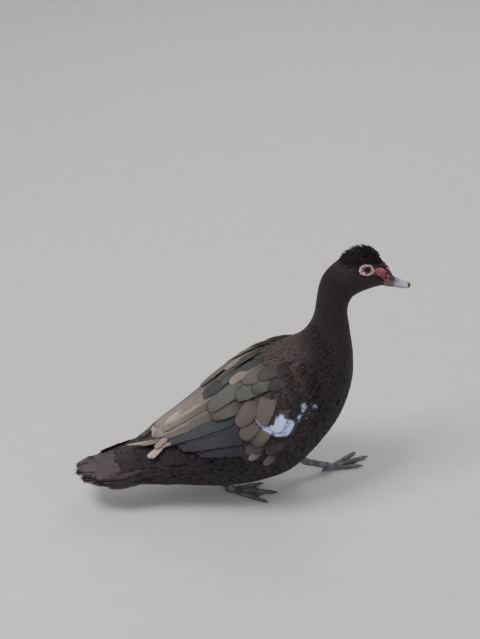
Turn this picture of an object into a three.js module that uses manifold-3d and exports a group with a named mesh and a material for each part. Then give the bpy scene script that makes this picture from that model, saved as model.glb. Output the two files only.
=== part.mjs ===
// A muscovy duck hen in mid-stride, life size, in millimetres.
// +X is the way she walks, +Y is her left, +Z is up, and her soles rest on z = 0.
import * as THREE from "three";
import { mergeVertices } from "three/addons/utils/BufferGeometryUtils.js";
import Module from "manifold-3d";

const wasm = await Module();
wasm.setup();

const { lerp, clamp, degToRad, smoothstep } = THREE.MathUtils;
const gap = 0.3; // clearance kept between neighbouring pieces
const plumageSeed = 20;

// Body stations from the tail to the bill: the back and belly points as [x, z], and the half width.
const stations = {
  tailEnd: { back: [-228, 66], belly: [-224, 46], half: 42 },
  tailBase: { back: [-186, 89], belly: [-181, 38], half: 47 },
  vent: { back: [-150, 112], belly: [-146, 32], half: 55 },
  rump: { back: [-105, 144], belly: [-100, 26], half: 68 },
  loin: { back: [-60, 181], belly: [-55, 22], half: 79 },
  back: { back: [-17, 213], belly: [-5, 25], half: 84 },
  shoulder: { back: [24, 234], belly: [43, 41], half: 84 },
  mantle: { back: [52, 246], belly: [87, 84], half: 77 },
  neckBase: { back: [68, 259], belly: [119, 129], half: 65 },
  breast: { back: [76, 275], belly: [136, 178], half: 51 },
  lowNeck: { back: [80, 293], belly: [138, 222], half: 39 },
  midNeck: { back: [82, 313], belly: [132, 265], half: 30 },
  highNeck: { back: [85, 335], belly: [127.5, 299], half: 26 },
  nape: { back: [92, 354.5], belly: [134, 318.5], half: 24.5 },
  occiput: { back: [109, 373], belly: [147, 326], half: 23.5 },
  crownRear: { back: [130, 384.5], belly: [160, 330], half: 22.5 },
  crown: { back: [151, 388.5], belly: [171, 332], half: 20.5 },
  forehead: { back: [170, 379.5], belly: [176, 332.5], half: 16.5 },
  billBase: { back: [188, 357], belly: [180, 332], half: 12 },
};
const stationRows = Object.values(stations).map((p) => [...p.back, ...p.belly, p.half]);
const at = Object.fromEntries(Object.keys(stations).map((name, i) => [name, i]));

const colours = {
  plumage: 0x2a211d,
  wing: 0x4a443d,
  tail: 0x3a302b,
  bill: 0x9b98a6,
  eye: 0x2b1608,
  leg: 0x4d4c4a,
  claw: 0x2f2d2b,
};

function material(colour, roughness) {
  return new THREE.MeshStandardMaterial({ color: colour, roughness, metalness: 0 });
}

// Repeatable draw between -1 and 1, so that feathers vary as real ones do.
function drawer(seed) {
  let state = seed;
  return () => {
    state = (state * 1664525 + 1013904223) % 4294967296;
    return (state / 4294967296) * 2 - 1;
  };
}

// Smooth values between the rows of a table, at a fractional row.
function between(rows, place) {
  const last = rows.length - 1;
  const held = clamp(place, 0, last - 1e-9);
  const i = Math.floor(held);
  const f = held - i;
  const row = (k) => rows[clamp(k, 0, last)];
  return row(i).map((b, c) => {
    const [a, d, e] = [row(i - 1)[c], row(i + 1)[c], row(i + 2)[c]];
    return 0.5 * (2 * b + (d - a) * f + (2 * a - 5 * b + 4 * d - e) * f * f + (3 * b - a - 3 * d + e) * f ** 3);
  });
}

// Straight-line values between [key, value] pairs.
function ramp(pairs, key) {
  const i = pairs.findIndex(([k]) => k >= key);
  if (i < 0) return pairs[pairs.length - 1][1];
  if (i === 0) return pairs[0][1];
  const [[k0, v0], [k1, v1]] = [pairs[i - 1], pairs[i]];
  return lerp(v0, v1, (key - k0) / (k1 - k0));
}

// A point of the body: s is the station, and the angle runs from the back (0) over the side (90) to the belly (180).
function skin(s, angle, side) {
  const [bx, bz, vx, vz, half] = between(stationRows, s);
  const a = degToRad(angle);
  const c = Math.cos(a);
  return new THREE.Vector3(
    (bx + vx) / 2 + (c * (bx - vx)) / 2,
    side * Math.sin(a) * half,
    (bz + vz) / 2 + (c * (bz - vz)) / 2,
  );
}

// The body's outward normal there.
function skinNormal(s, angle, side) {
  const step = 0.02;
  const ds = skin(s + step, angle, side).sub(skin(s - step, angle, side));
  const da = skin(s, angle + 1, side).sub(skin(s, angle - 1, side));
  return ds.cross(da).multiplyScalar(side).normalize();
}

function onSkin(s, angle, side, lift) {
  return skin(s, angle, side).addScaledVector(skinNormal(s, angle, side), lift);
}

// The upright plane through a body station, as a normal that points towards the bill and an offset.
function stationPlane(s, shift = 0) {
  const [bx, bz, vx, vz] = between(stationRows, s);
  const normal = new THREE.Vector3(bz - vz, 0, vx - bx).normalize();
  const offset = normal.x * bx + normal.z * bz + shift;
  return [normal.toArray(), offset];
}

// Closed solids.

function solidOf(geometry) {
  const bare = geometry.clone();
  bare.deleteAttribute("normal");
  bare.deleteAttribute("uv");
  const merged = mergeVertices(bare, 1e-3);
  const vertProperties = Float32Array.from(merged.attributes.position.array);
  const triVerts = Uint32Array.from(merged.index.array);
  const made = () => new wasm.Manifold(new wasm.Mesh({ numProp: 3, vertProperties, triVerts }));
  const solid = made();
  if (solid.volume() > 0) return solid;
  for (let i = 0; i < triVerts.length; i += 3) {
    [triVerts[i + 1], triVerts[i + 2]] = [triVerts[i + 2], triVerts[i + 1]];
  }
  return made();
}

function union(solids) {
  return wasm.Manifold.union(solids);
}

// The largest closed surface alone, so that scraps go and sealed hollows fill.
function largest(solid) {
  const bodies = solid.decompose();
  return bodies.reduce((best, body) => (body.volume() > best.volume() ? body : best));
}

function meshOf(solid, name, finish) {
  const { vertProperties, triVerts } = largest(solid).getMesh();
  const geometry = new THREE.BufferGeometry();
  geometry.setAttribute("position", new THREE.BufferAttribute(vertProperties, 3));
  geometry.setIndex(new THREE.BufferAttribute(triVerts, 1));
  geometry.computeVertexNormals();
  const mesh = new THREE.Mesh(geometry, finish);
  mesh.name = name;
  return mesh;
}

// Moves every vertex of a geometry by a function.
function shaped(geometry, place) {
  const position = geometry.attributes.position;
  const p = new THREE.Vector3();
  for (let i = 0; i < position.count; i++) {
    p.fromBufferAttribute(position, i);
    position.setXYZ(i, ...place(p).toArray());
  }
  return geometry;
}

// A plate with the same triangles on both faces: place(u, v, top) gives each vertex, u 0..1 along and v -1..1 across.
function plate(along, across, place) {
  const vertices = [];
  const triangles = [];
  const row = across + 1;
  const layer = (along + 1) * row;
  for (const top of [1, 0]) {
    for (let i = 0; i <= along; i++) {
      for (let j = 0; j <= across; j++) {
        vertices.push(...place(i / along, (2 * j) / across - 1, top).toArray());
      }
    }
  }
  const quad = (a, b, c, d) => triangles.push(a, b, c, a, c, d);
  for (let i = 0; i < along; i++) {
    for (let j = 0; j < across; j++) {
      const a = i * row + j;
      quad(a, a + row, a + row + 1, a + 1);
      triangles.push(a + layer, a + layer + row + 1, a + layer + row);
      triangles.push(a + layer, a + layer + 1, a + layer + row + 1);
    }
    const left = i * row;
    const right = left + across;
    quad(left, left + layer, left + layer + row, left + row);
    quad(right, right + row, right + layer + row, right + layer);
  }
  for (let j = 0; j < across; j++) {
    const tip = along * row + j;
    quad(j, j + 1, j + 1 + layer, j + layer);
    quad(tip, tip + layer, tip + layer + 1, tip + 1);
  }
  const geometry = new THREE.BufferGeometry();
  geometry.setAttribute("position", new THREE.Float32BufferAttribute(vertices, 3));
  geometry.setIndex(triangles);
  return solidOf(geometry);
}

// A limb with round sections through [x, y, z, radius] points.
function limb(points, sides, steps) {
  const curve = new THREE.CatmullRomCurve3(points.map(([x, y, z]) => new THREE.Vector3(x, y, z)));
  const radii = points.map((p) => [p[3]]);
  const tube = new THREE.CylinderGeometry(1, 1, 1, sides, steps);
  return solidOf(
    shaped(tube, (p) => {
      const t = clamp(p.y + 0.5, 0, 1);
      const centre = curve.getPoint(t);
      const ahead = curve.getTangent(t);
      const across = new THREE.Vector3(0, 1, 0).cross(ahead).normalize();
      const other = ahead.clone().cross(across);
      const radius = between(radii, t * (points.length - 1))[0];
      return centre.addScaledVector(across, p.x * radius).addScaledVector(other, p.z * radius);
    }),
  );
}

function ball(centre, radii, segments = 8, rings = 6) {
  const sphere = new THREE.SphereGeometry(1, segments, rings);
  sphere.rotateX(Math.PI / 2);
  sphere.scale(...radii);
  sphere.translate(...centre);
  return solidOf(sphere);
}

// The whole body, from the tail base to the bill.

const sidesRound = 22;

function bodySolid(from, to, steps, grown) {
  const tube = new THREE.CylinderGeometry(1, 1, 1, sidesRound, steps);
  return solidOf(
    shaped(tube, (p) => {
      const s = lerp(from, to, p.y + 0.5);
      const reach = Math.hypot(p.x, p.z);
      const angle = THREE.MathUtils.radToDeg(Math.atan2(Math.abs(p.x), p.z));
      const side = p.x < 0 ? -1 : 1;
      const centre = skin(s, 0, 1).add(skin(s, 180, 1)).multiplyScalar(0.5);
      return centre.lerp(onSkin(s, angle, side, grown), reach);
    }),
  );
}

const torsoEnd = at.neckBase + 0.3;
const neckCut = at.highNeck - 0.3;
const headCut = at.nape + 0.35;
const billCut = at.billBase - 0.05;
const bodyRuns = {
  torso: [at.tailBase, torsoEnd],
  neck_lower: [torsoEnd, neckCut],
  neck_upper: [neckCut, headCut],
};
const whole = bodySolid(at.tailEnd, at.billBase, 36, 0);
const wholeGrown = bodySolid(at.tailEnd, at.billBase, 36, gap);

function bodyPart([from, to]) {
  const [frontNormal, frontOffset] = stationPlane(to, -gap / 2);
  const [rearNormal, rearOffset] = stationPlane(from, gap / 2);
  const back = frontNormal.map((n) => -n);
  return whole.trimByPlane(back, -frontOffset).trimByPlane(rearNormal, rearOffset);
}

// Wings. A place on a folded wing is a station s and a share q from its upper edge (0) to its lower edge (1).

const wingLowEdge = [
  [0.4, 10], [1, 17], [1.6, 27], [2.5, 48], [3.2, 68], [4.1, 82], [4.7, 88], [5.6, 94], [6.2, 94], [7, 84], [7.6, 76],
];
const wingHighEdge = [[0.4, 1], [4, 3], [5.5, 8], [6.5, 20], [7.6, 40]];
const wingDepth = [
  [0.4, 14], [1, 9], [1.6, 7], [2.5, 5.5], [3.5, 6.5], [4.5, 8.5], [5.5, 9], [6.3, 6.5], [7, 3], [7.6, 0.5],
];
const wingCore = { from: 7.45, to: 1.55, high: 0.03, low: 0.93, sunk: 4 };

// Tiers of vanes: each runs from its first to its last [rootS, rootQ, tipS, tipQ, half width, lift].
const wingTiers = {
  primaries: { count: 3, first: [4.6, 0.88, 1.75, 0.9, 10, 0], last: [3.4, 0.5, 0.85, 0.3, 9, 1.2] },
  secondaries: { count: 5, first: [5.5, 0.88, 2.75, 0.88, 12, 1], last: [4.5, 0.4, 1.75, 0.3, 12, 2] },
  tertials: { count: 3, first: [4.7, 0.4, 1.95, 0.28, 13, 2], last: [4.3, 0.08, 2.1, 0.06, 11, 2] },
  greaterCoverts: { count: 6, first: [6.5, 0.86, 5.3, 0.9, 10, 1.2], last: [4.7, 0.25, 3.5, 0.3, 13, 2.6] },
  medianCoverts: { count: 4, first: [6.9, 0.62, 6, 0.7, 9, 1.6], last: [5.2, 0.32, 4.25, 0.34, 10, 3.2] },
  scapulars: { count: 3, first: [6.6, 0.28, 5.5, 0.34, 9, 2.4], last: [5, 0.03, 3.6, 0.06, 10, 2.8] },
};
const vane = { thick: 1.4, rootSunk: 2.4, tipRise: 0.7, tilt: 0.07, tipWidth: 0.3, uncovered: 0.35 };

function wingAngle(s, q) {
  return lerp(ramp(wingHighEdge, s), ramp(wingLowEdge, s), q);
}

function wingLift(s, q) {
  const rim = 0.7 + 0.3 * smoothstep(q, 0, 0.25) - 0.25 * smoothstep(q, 0.75, 1);
  return ramp(wingDepth, s) * rim;
}

// How a vane's width grows from its root and rounds off at its tip.
function vaneWidth(u, tipWidth) {
  const swell = 0.6 + 0.4 * smoothstep(u, 0, 0.45);
  const rounding = Math.sqrt(Math.max(0, 1 - ((u - 0.72) / 0.28) ** 2));
  return swell * (u < 0.72 ? 1 : lerp(tipWidth, 1, rounding));
}

// A vane that follows the body: place(u) gives its midline as [station, angle, height above the body].
function skinVane(place, half, side, along, across) {
  return plate(along, across, (u, v, top) => {
    const [s, angle, height] = place(u);
    const [nextS, nextAngle] = place(u + 0.01);
    const centre = onSkin(s, angle, side, height);
    const normal = skinNormal(s, angle, side);
    const ahead = onSkin(nextS, nextAngle, side, height).sub(centre);
    const sideways = ahead.cross(normal).normalize().multiplyScalar(side);
    const reach = v * half * vaneWidth(u, vane.tipWidth);
    const curve = reach ** 2 / (2 * between(stationRows, s)[4]);
    const level = vane.tilt * reach - curve - (top ? 0 : vane.thick);
    return centre.addScaledVector(sideways, -reach).addScaledVector(normal, level);
  });
}

// How far a vane stands off along its length: its root is buried and its tip lifts.
function vaneRise(u) {
  return -vane.rootSunk * (1 - smoothstep(u, 0, vane.uncovered)) + vane.tipRise * u;
}

function wingVane([rootS, rootQ, tipS, tipQ, half, lift], side) {
  const place = (u) => {
    const [s, q] = [lerp(rootS, tipS, u), lerp(rootQ, tipQ, u)];
    return [s, wingAngle(s, q), wingLift(s, q) + lift + vaneRise(u)];
  };
  return rootS - tipS > 2 ? skinVane(place, half, side, 4, 2) : skinVane(place, half, side, 3, 1);
}

function wing(side) {
  const draw = drawer(plumageSeed + side);
  const pieces = [
    plate(11, 4, (u, v, top) => {
      const s = lerp(wingCore.from, wingCore.to, u);
      const q = lerp(wingCore.high, wingCore.low, (v + 1) / 2);
      return onSkin(s, wingAngle(s, q), side, top ? wingLift(s, q) : -wingCore.sunk);
    }),
  ];
  for (const tier of Object.values(wingTiers)) {
    for (let i = 0; i < tier.count; i++) {
      const row = tier.first.map((value, k) => lerp(value, tier.last[k], i / (tier.count - 1)));
      row[2] += 0.05 * draw();
      row[3] += 0.012 * draw();
      row[4] *= 1 + 0.06 * draw();
      pieces.push(wingVane(row, side));
    }
  }
  return union(pieces).subtract(wholeGrown).trimByPlane([0, side, 0], gap / 2);
}

// Tail: the body carries on into it, with flat feathers in a fan and coverts over and under their roots.

const tail = {
  root: -186, rise: 66, pairs: 6, spread: 27, fan: 8, length: 95, shorter: 27, half: 14,
  thick: 1.2, step: 0.9, fall: 0.085, dome: 0.0016, tilt: 0.04, tipWidth: 0.4,
};
const tailCoverts = {
  over: { angles: [14, 38, 62], rootS: 1.3, tipS: 0.1, half: 9, lift: 1.6 },
  overShort: { angles: [0, 26], rootS: 1.5, tipS: 0.55, half: 9, lift: 2.6 },
  under: { angles: [125, 155], rootS: 1.3, tipS: 0.1, half: 10, lift: 1.6 },
};

function tailFeather(share, side, stack) {
  const turn = degToRad(tail.fan * share * side);
  const length = tail.length - tail.shorter * share ** 2;
  return plate(4, 2, (u, v, top) => {
    const reach = v * tail.half * vaneWidth(u, tail.tipWidth);
    const out = length * u;
    const x = tail.root - out * Math.cos(turn) + reach * Math.sin(turn);
    const y = side * share * tail.spread + out * Math.sin(turn) + reach * Math.cos(turn);
    const drop = tail.step * stack + tail.fall * out + tail.dome * y * y + tail.tilt * side * reach;
    return new THREE.Vector3(x, y, tail.rise - drop - (top ? 0 : tail.thick));
  });
}

function tailSolid() {
  const [ahead, frontOffset] = stationPlane(at.tailBase, -gap / 2);
  const front = ahead.map((n) => -n);
  const pieces = [whole.trimByPlane(front, -frontOffset)];
  for (let i = 0; i < tail.pairs; i++) {
    const share = (i + 0.5) / tail.pairs;
    for (const side of [-1, 1]) pieces.push(tailFeather(share, side, i + (side < 0 ? 0.45 : 0)));
  }
  for (const row of Object.values(tailCoverts)) {
    for (const side of [-1, 1]) {
      for (const angle of row.angles) {
        if (angle === 0 && side < 0) continue;
        const place = (u) => [lerp(row.rootS, row.tipS, u), angle, row.lift + vaneRise(u)];
        pieces.push(skinVane(place, row.half, side, 3, 1));
      }
    }
  }
  return union(pieces).trimByPlane(front, -frontOffset);
}

// Head: crest, lids, the bare skin's rim and knobs, and room for the eyes.

const eye = { s: 15.57, angle: 71, radius: 6.2, sunk: 4.6 };
const lid = { long: 0.31, high: 10.5, ring: 0.26, lift: 0.3, thick: 1.2, around: 12 };
const bareRim = { long: 0.78, high: 18.5, ring: 0.13, lift: 0, thick: 1.3, around: 12 };
const knobs = { count: 3, s: 17.45, from: 40, step: 38, radius: 3.4 };
const brow = { centre: [181.5, 0, 359.5], radii: [5.4, 6.2, 4.4] };
const crest = { rows: 5, perRow: 3, front: 17.1, rear: 15, spread: 40, long: 12, longMiddle: 8, half: 4.6, thick: 2.4 };

function eyeCentre(side) {
  return onSkin(eye.s, eye.angle, side, -eye.sunk).toArray();
}

// A raised ring on the skin about the eye; bumps make its height uneven.
function eyeRing(row, side, bumps) {
  const torus = new THREE.TorusGeometry(1, row.ring, 4, row.around);
  return solidOf(
    shaped(torus, (p) => {
      const turn = Math.round((Math.atan2(p.y, p.x) / (2 * Math.PI)) * row.around + row.around) % row.around;
      const height = (p.z / row.ring) * row.thick * (1 + bumps[turn % bumps.length]);
      return onSkin(eye.s + row.long * p.x, eye.angle - row.high * p.y, side, row.lift + height);
    }),
  );
}

function crestLock(s, share, long) {
  const side = share < 0 ? -1 : 1;
  const angle = Math.abs(share) * crest.spread + 2;
  const root = onSkin(s, angle, side, -2.5);
  const out = skinNormal(s, angle, side);
  const rear = skin(s - 0.3, angle, side).sub(skin(s, angle, side)).normalize();
  const across = out.clone().cross(rear).normalize();
  return plate(3, 1, (u, v, top) => {
    const high = long * (0.9 * u - 0.25 * u * u) - (top ? 0 : crest.thick * (1 - 0.7 * u));
    return root
      .clone()
      .addScaledVector(rear, long * (0.2 * u + 0.45 * u * u))
      .addScaledVector(out, high)
      .addScaledVector(across, v * crest.half * (1 - 0.7 * u * u));
  });
}

function headSolid(draw) {
  const pieces = [whole.trimByPlane(...stationPlane(headCut, gap / 2))];
  for (let r = 0; r < crest.rows; r++) {
    const row = r / (crest.rows - 1);
    const count = crest.perRow + (r % 2);
    for (let i = 0; i < count; i++) {
      const share = (2 * i) / (count - 1) - 1;
      const full = crest.long + crest.longMiddle * Math.sin(Math.PI * clamp(row * 0.9 + 0.15, 0, 1));
      const long = full * (1 - 0.4 * Math.abs(share)) * (1 + 0.1 * draw());
      pieces.push(crestLock(lerp(crest.front, crest.rear, row), share, long));
    }
  }
  for (const side of [-1, 1]) {
    pieces.push(eyeRing(lid, side, [0]));
    pieces.push(eyeRing(bareRim, side, [0.3, -0.1, 0.25, 0]));
    for (let i = 0; i < knobs.count; i++) {
      const radius = knobs.radius + 0.5 * draw();
      const place = onSkin(knobs.s, knobs.from + i * knobs.step, side, -1.2);
      pieces.push(ball(place.toArray(), [radius, radius, radius * 1.2], 6, 4));
    }
  }
  pieces.push(ball(brow.centre, brow.radii, 10, 6));
  const sockets = [-1, 1].map((side) => ball(eyeCentre(side), Array(3).fill(eye.radius + gap), 12, 8));
  const [normal, offset] = stationPlane(billCut, -gap / 2);
  return union(pieces).subtract(union(sockets)).trimByPlane(normal.map((n) => -n), -offset);
}

// Bill: sections along its axis as [distance, half width, height above the gape, depth below it].

const bill = { start: [183, 338.3], pitch: -17.5 };
const billRows = [
  [-7, 11, 18.5, 7.8],
  [1, 10.8, 17, 8],
  [9.5, 10.2, 9.2, 7.4],
  [20, 9.8, 5.8, 6.2],
  [29, 10, 4.2, 5],
  [35.5, 8, 3.4, 4],
  [38.4, 3, 2.2, 2.8],
];
const nail = { out: 35.6, high: 1.2, radii: [4, 3.6, 3] };
const nostril = { out: 8.5, across: 6.4, high: 7.6, radii: [2.8, 3.6, 1.5] };

function billPoint(out, across, high) {
  const a = degToRad(bill.pitch);
  return new THREE.Vector3(
    bill.start[0] + out * Math.cos(a) - high * Math.sin(a),
    across,
    bill.start[1] + out * Math.sin(a) + high * Math.cos(a),
  );
}

function mandible(upper) {
  const tube = new THREE.CylinderGeometry(1, 1, 1, 14, 10);
  const solid = solidOf(
    shaped(tube, (p) => {
      const [out, half, above, below] = between(billRows, (p.y + 0.5) * (billRows.length - 1));
      const round = upper ? Math.max(p.z, 0) ** 0.85 : -(Math.max(-p.z, 0) ** 0.9);
      const high = upper ? round * above + gap / 2 : round * below * 0.92 - gap / 2;
      const pinch = upper ? 1 : 0.9;
      const short = upper ? 0 : -1.6 * Math.max(0, p.y + 0.5);
      const level = Math.abs(p.z) < 1e-6 || p.z > 0 === upper ? high : upper ? gap / 2 : -gap / 2;
      return billPoint(out + short, p.x * half * pinch, level);
    }),
  );
  return solid;
}

function bills() {
  const [normal, offset] = stationPlane(billCut, gap / 2);
  const up = billPoint(0, 0, 1).sub(billPoint(0, 0, 0));
  const gape = billPoint(0, 0, gap / 2).dot(up);
  const hook = ball(billPoint(nail.out, 0, nail.high).toArray(), nail.radii, 10, 6).trimByPlane(up.toArray(), gape);
  const nostrils = [-1, 1].map((side) => {
    return ball(billPoint(nostril.out, side * nostril.across, nostril.high).toArray(), nostril.radii, 8, 6);
  });
  return {
    bill_upper: union([mandible(true), hook]).subtract(union(nostrils)).trimByPlane(normal, offset),
    bill_lower: mandible(false).trimByPlane(normal, offset),
  };
}

// Legs. Each foot has its own frame: the origin is on the floor under the ankle and +X runs along the middle toe.

const toes = {
  inner: { angle: 27, long: 47, thick: 3.3 },
  middle: { angle: 0, long: 65, thick: 3.7 },
  outer: { angle: -25, long: 58, thick: 3.4 },
  hind: { angle: 158, long: 12, thick: 2.4 },
};
const claw = { long: 7.5, half: 1.9, drop: 1.5 };
const ankle = { high: 8, radius: 6 };
const web = { thick: 1.7, high: 1.2, reach: 0.9, scallop: 0.16 };
const legs = {
  left: {
    side: 1, x: 112, y: 21, heading: 20, spread: 0.7,
    shank: [[-2, 0, 9, 5.6], [-20, -0.5, 15, 5], [-38, -1, 22, 5.8], [-49, -1, 33, 6.2]],
    thigh: [[69, 20, 28, 7.8], [58, 24, 43, 14], [46, 30, 62, 19], [34, 34, 84, 22]],
  },
  right: {
    side: -1, x: -47, y: -11, heading: -14, spread: 0.95,
    shank: [[-1, 0, 9, 5.6], [2, 0, 17, 5.2], [6, 0, 28, 5.8]],
    thigh: [[-40, -13, 25, 8.6], [-35, -19, 36, 15], [-27, -26, 52, 20], [-14, -32, 74, 23]],
  },
};

function toePoint(toe, leg, out, high) {
  const turn = degToRad(toe.angle * (Math.abs(toe.angle) < 90 ? leg.spread : 1) * leg.side * -1);
  return [out * Math.cos(turn), out * Math.sin(turn), high];
}

function toeSolid(toe, leg) {
  const hind = Math.abs(toe.angle) > 90;
  const level = hind ? 7 : toe.thick * 0.72;
  const points = [0, 0.33, 0.66, 1].map((u, i) => {
    const swell = [1.1, 1, 1.02, 0.8][i];
    return [...toePoint(toe, leg, toe.long * u, lerp(hind ? 8 : level + 1.2, level, u)), toe.thick * swell];
  });
  return limb(points, 7, 4);
}

function webSolid(leg) {
  const [inner, outer] = [toes.inner, toes.outer];
  return plate(3, 6, (u, v, top) => {
    const left = v < 0 ? outer : toes.middle;
    const right = v < 0 ? toes.middle : inner;
    const f = v < 0 ? v + 1 : v;
    const sag = 1 - web.scallop * Math.sin(Math.PI * f);
    const long = lerp(left.long, right.long, f) * web.reach * sag;
    const toe = { angle: lerp(left.angle, right.angle, f), long };
    const out = lerp(3, long, u);
    return new THREE.Vector3(...toePoint(toe, leg, out, web.high + (top ? web.thick : -web.high)));
  });
}

function footSolid(leg) {
  const pieces = Object.values(toes).map((toe) => toeSolid(toe, leg));
  pieces.push(webSolid(leg), ball([0, 0, 6.4], [7.6, 6.6, 6.4], 10, 6));
  return union(pieces).trimByPlane([0, 0, 1], 0);
}

// Where a toe ends, and the claw that carries on from there.
function clawSolid(toe, leg) {
  const hind = Math.abs(toe.angle) > 90;
  const level = hind ? 7 : toe.thick * 0.72;
  const points = [0, 0.5, 1].map((u, i) => {
    const out = toe.long + gap + 0.02 + claw.long * u * (hind ? 0.7 : 1);
    const high = level + 0.3 - claw.drop * u * u - 0.2;
    return [...toePoint(toe, leg, out, Math.max(high, [1.9, 1.3, 0.5][i])), [claw.half, 1.35, 0.35][i]];
  });
  return limb(points, 8, 3).trimByPlane([0, 0, 1], 0.05);
}

function legPieces(name, leg) {
  const foot = new THREE.Group();
  foot.position.set(leg.x, leg.y, 0);
  foot.rotation.z = degToRad(leg.heading * leg.side);
  const footBody = footSolid(leg);
  foot.add(meshOf(footBody, `foot_${name}`, material(colours.leg, 0.75)));
  for (const [toeName, toe] of Object.entries(toes)) {
    const solid = clawSolid(toe, leg);
    foot.add(meshOf(solid, `claw_${name}_${toeName}`, material(colours.claw, 0.4)));
  }
  const turned = footBody.rotate([0, 0, leg.heading * leg.side]).translate([leg.x, leg.y, 0]);
  const shankPoints = leg.shank.map(([x, y, z, r]) => [x + leg.x, y + leg.y, z, r]);
  const thigh = limb(leg.thigh, 16, 8).subtract(wholeGrown);
  const clearOf = (solid) => {
    const moves = [[gap, 0, 0], [-gap, 0, 0], [0, gap, 0], [0, -gap, 0], [0, 0, gap], [0, 0, -gap]];
    return union([solid, ...moves.map((m) => solid.translate(m))]);
  };
  const shank = limb(shankPoints, 10, 6).subtract(clearOf(turned)).subtract(clearOf(largest(thigh)));
  return [
    foot,
    meshOf(shank.subtract(wholeGrown), `shank_${name}`, material(colours.leg, 0.7)),
    meshOf(thigh, `thigh_${name}`, material(colours.plumage, 0.85)),
  ];
}

// The duck.

const duck = new THREE.Group();
const draw = drawer(plumageSeed);
const plumage = material(colours.plumage, 0.85);
for (const [name, run] of Object.entries(bodyRuns)) {
  duck.add(meshOf(bodyPart(run), name, plumage));
}
duck.add(meshOf(headSolid(draw), "head", plumage));
duck.add(meshOf(tailSolid(), "tail", material(colours.tail, 0.7)));
for (const [name, side] of [["right", -1], ["left", 1]]) {
  duck.add(meshOf(wing(side), `wing_${name}`, material(colours.wing, 0.65)));
  const eyeball = ball(eyeCentre(side), Array(3).fill(eye.radius), 12, 8);
  duck.add(meshOf(eyeball, `eye_${name}`, material(colours.eye, 0.1)));
}
for (const [name, solid] of Object.entries(bills())) {
  duck.add(meshOf(solid, name, material(colours.bill, 0.5)));
}
for (const [name, leg] of Object.entries(legs)) duck.add(...legPieces(name, leg));

// The origin is on the floor, under the middle of the duck's box.
const box = new THREE.Box3().setFromObject(duck, true);
const middle = box.getCenter(new THREE.Vector3());
duck.position.set(-middle.x, -middle.y, -box.min.z);

export default duck;
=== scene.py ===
# A muscovy duck hen in mid-stride: skin, feathers, bill, eyes and feet.
# Shapes are worked out in millimetres, with X ahead, Y to her left and Z up, and stored in metres.
import math

import bpy
import numpy as np
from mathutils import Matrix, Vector


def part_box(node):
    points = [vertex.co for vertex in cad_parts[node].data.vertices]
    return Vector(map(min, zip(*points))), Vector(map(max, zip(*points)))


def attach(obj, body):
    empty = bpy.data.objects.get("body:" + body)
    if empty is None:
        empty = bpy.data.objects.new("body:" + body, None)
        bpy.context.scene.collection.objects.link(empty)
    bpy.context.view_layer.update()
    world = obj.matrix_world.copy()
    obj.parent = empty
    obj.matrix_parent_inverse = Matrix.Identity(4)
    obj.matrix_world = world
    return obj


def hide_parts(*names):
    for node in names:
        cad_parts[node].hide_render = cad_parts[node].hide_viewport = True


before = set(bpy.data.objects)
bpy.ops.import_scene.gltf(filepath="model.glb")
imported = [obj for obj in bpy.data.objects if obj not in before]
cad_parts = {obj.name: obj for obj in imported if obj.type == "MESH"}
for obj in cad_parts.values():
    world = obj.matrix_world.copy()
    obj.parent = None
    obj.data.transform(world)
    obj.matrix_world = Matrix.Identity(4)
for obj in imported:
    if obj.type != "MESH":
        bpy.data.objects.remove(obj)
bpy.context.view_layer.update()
chance = np.random.default_rng(20)

# Body stations from the tail to the bill: the back and belly points as (x, z), and the half width.
# Station 0 is the tail's end; the row before it only leads the tail's coverts out over the tail feathers.
stations = {
    "tailTip": (-268, 57, -266, 52, 30),
    "tailEnd": (-228, 66, -224, 46, 42),
    "tailBase": (-186, 89, -181, 38, 47),
    "vent": (-150, 112, -146, 32, 55),
    "rump": (-105, 144, -100, 26, 68),
    "loin": (-60, 181, -55, 22, 79),
    "back": (-17, 213, -5, 25, 84),
    "shoulder": (24, 234, 43, 41, 84),
    "mantle": (52, 246, 87, 84, 77),
    "neckBase": (68, 259, 119, 129, 65),
    "breast": (76, 275, 136, 178, 51),
    "lowNeck": (80, 293, 138, 222, 39),
    "midNeck": (82, 313, 132, 265, 30),
    "highNeck": (85, 335, 127.5, 299, 26),
    "nape": (92, 354.5, 134, 318.5, 24.5),
    "occiput": (109, 373, 147, 326, 23.5),
    "crownRear": (130, 384.5, 160, 330, 22.5),
    "crown": (151, 388.5, 171, 332, 20.5),
    "forehead": (170, 379.5, 176, 332.5, 16.5),
    "billBase": (188, 357, 180, 332, 12),
}
bodyRows = np.array(list(stations.values()), float)
eye = {"s": 15.57, "angle": 71, "radius": 6.2, "sunk": 4.6}
sides = {"right": -1, "left": 1}


def smooth(low, high, x):
    t = np.clip((x - low) / (high - low), 0, 1)
    return t * t * (3 - 2 * t)


def linear(colour):
    # sRGB 0-255 to linear light.
    c = np.asarray(colour, float) / 255
    return np.where(c <= 0.04045, c / 12.92, ((c + 0.055) / 1.055) ** 2.4)


def between(rows, place):
    # Smooth values between the rows of a table, at a fractional row.
    rows = np.asarray(rows, float)
    last = len(rows) - 1
    held = np.clip(np.asarray(place, float), 0, last - 1e-9)
    i = np.floor(held).astype(int)
    f = (held - i)[..., None]
    a, b, c, d = (rows[np.clip(i + k, 0, last)] for k in (-1, 0, 1, 2))
    cubic = (2 * a - 5 * b + 4 * c - d) * f**2 + (3 * b - a - 3 * c + d) * f**3
    return 0.5 * (2 * b + (c - a) * f + cubic)


def blend(first, second, amount):
    # Colours mixed by an amount from 0 to 1 at each point.
    amount = np.clip(amount, 0, 1)[..., None]
    return first * (1 - amount) + second * amount


def layered(colour, layers):
    # A colour with layers of (0..255 colour, amount) over it, in their order.
    for tint, amount in layers:
        colour = blend(colour, linear(tint), amount)
    return colour


def unit(v):
    return v / np.maximum(np.linalg.norm(v, axis=-1, keepdims=True), 1e-9)


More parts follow.
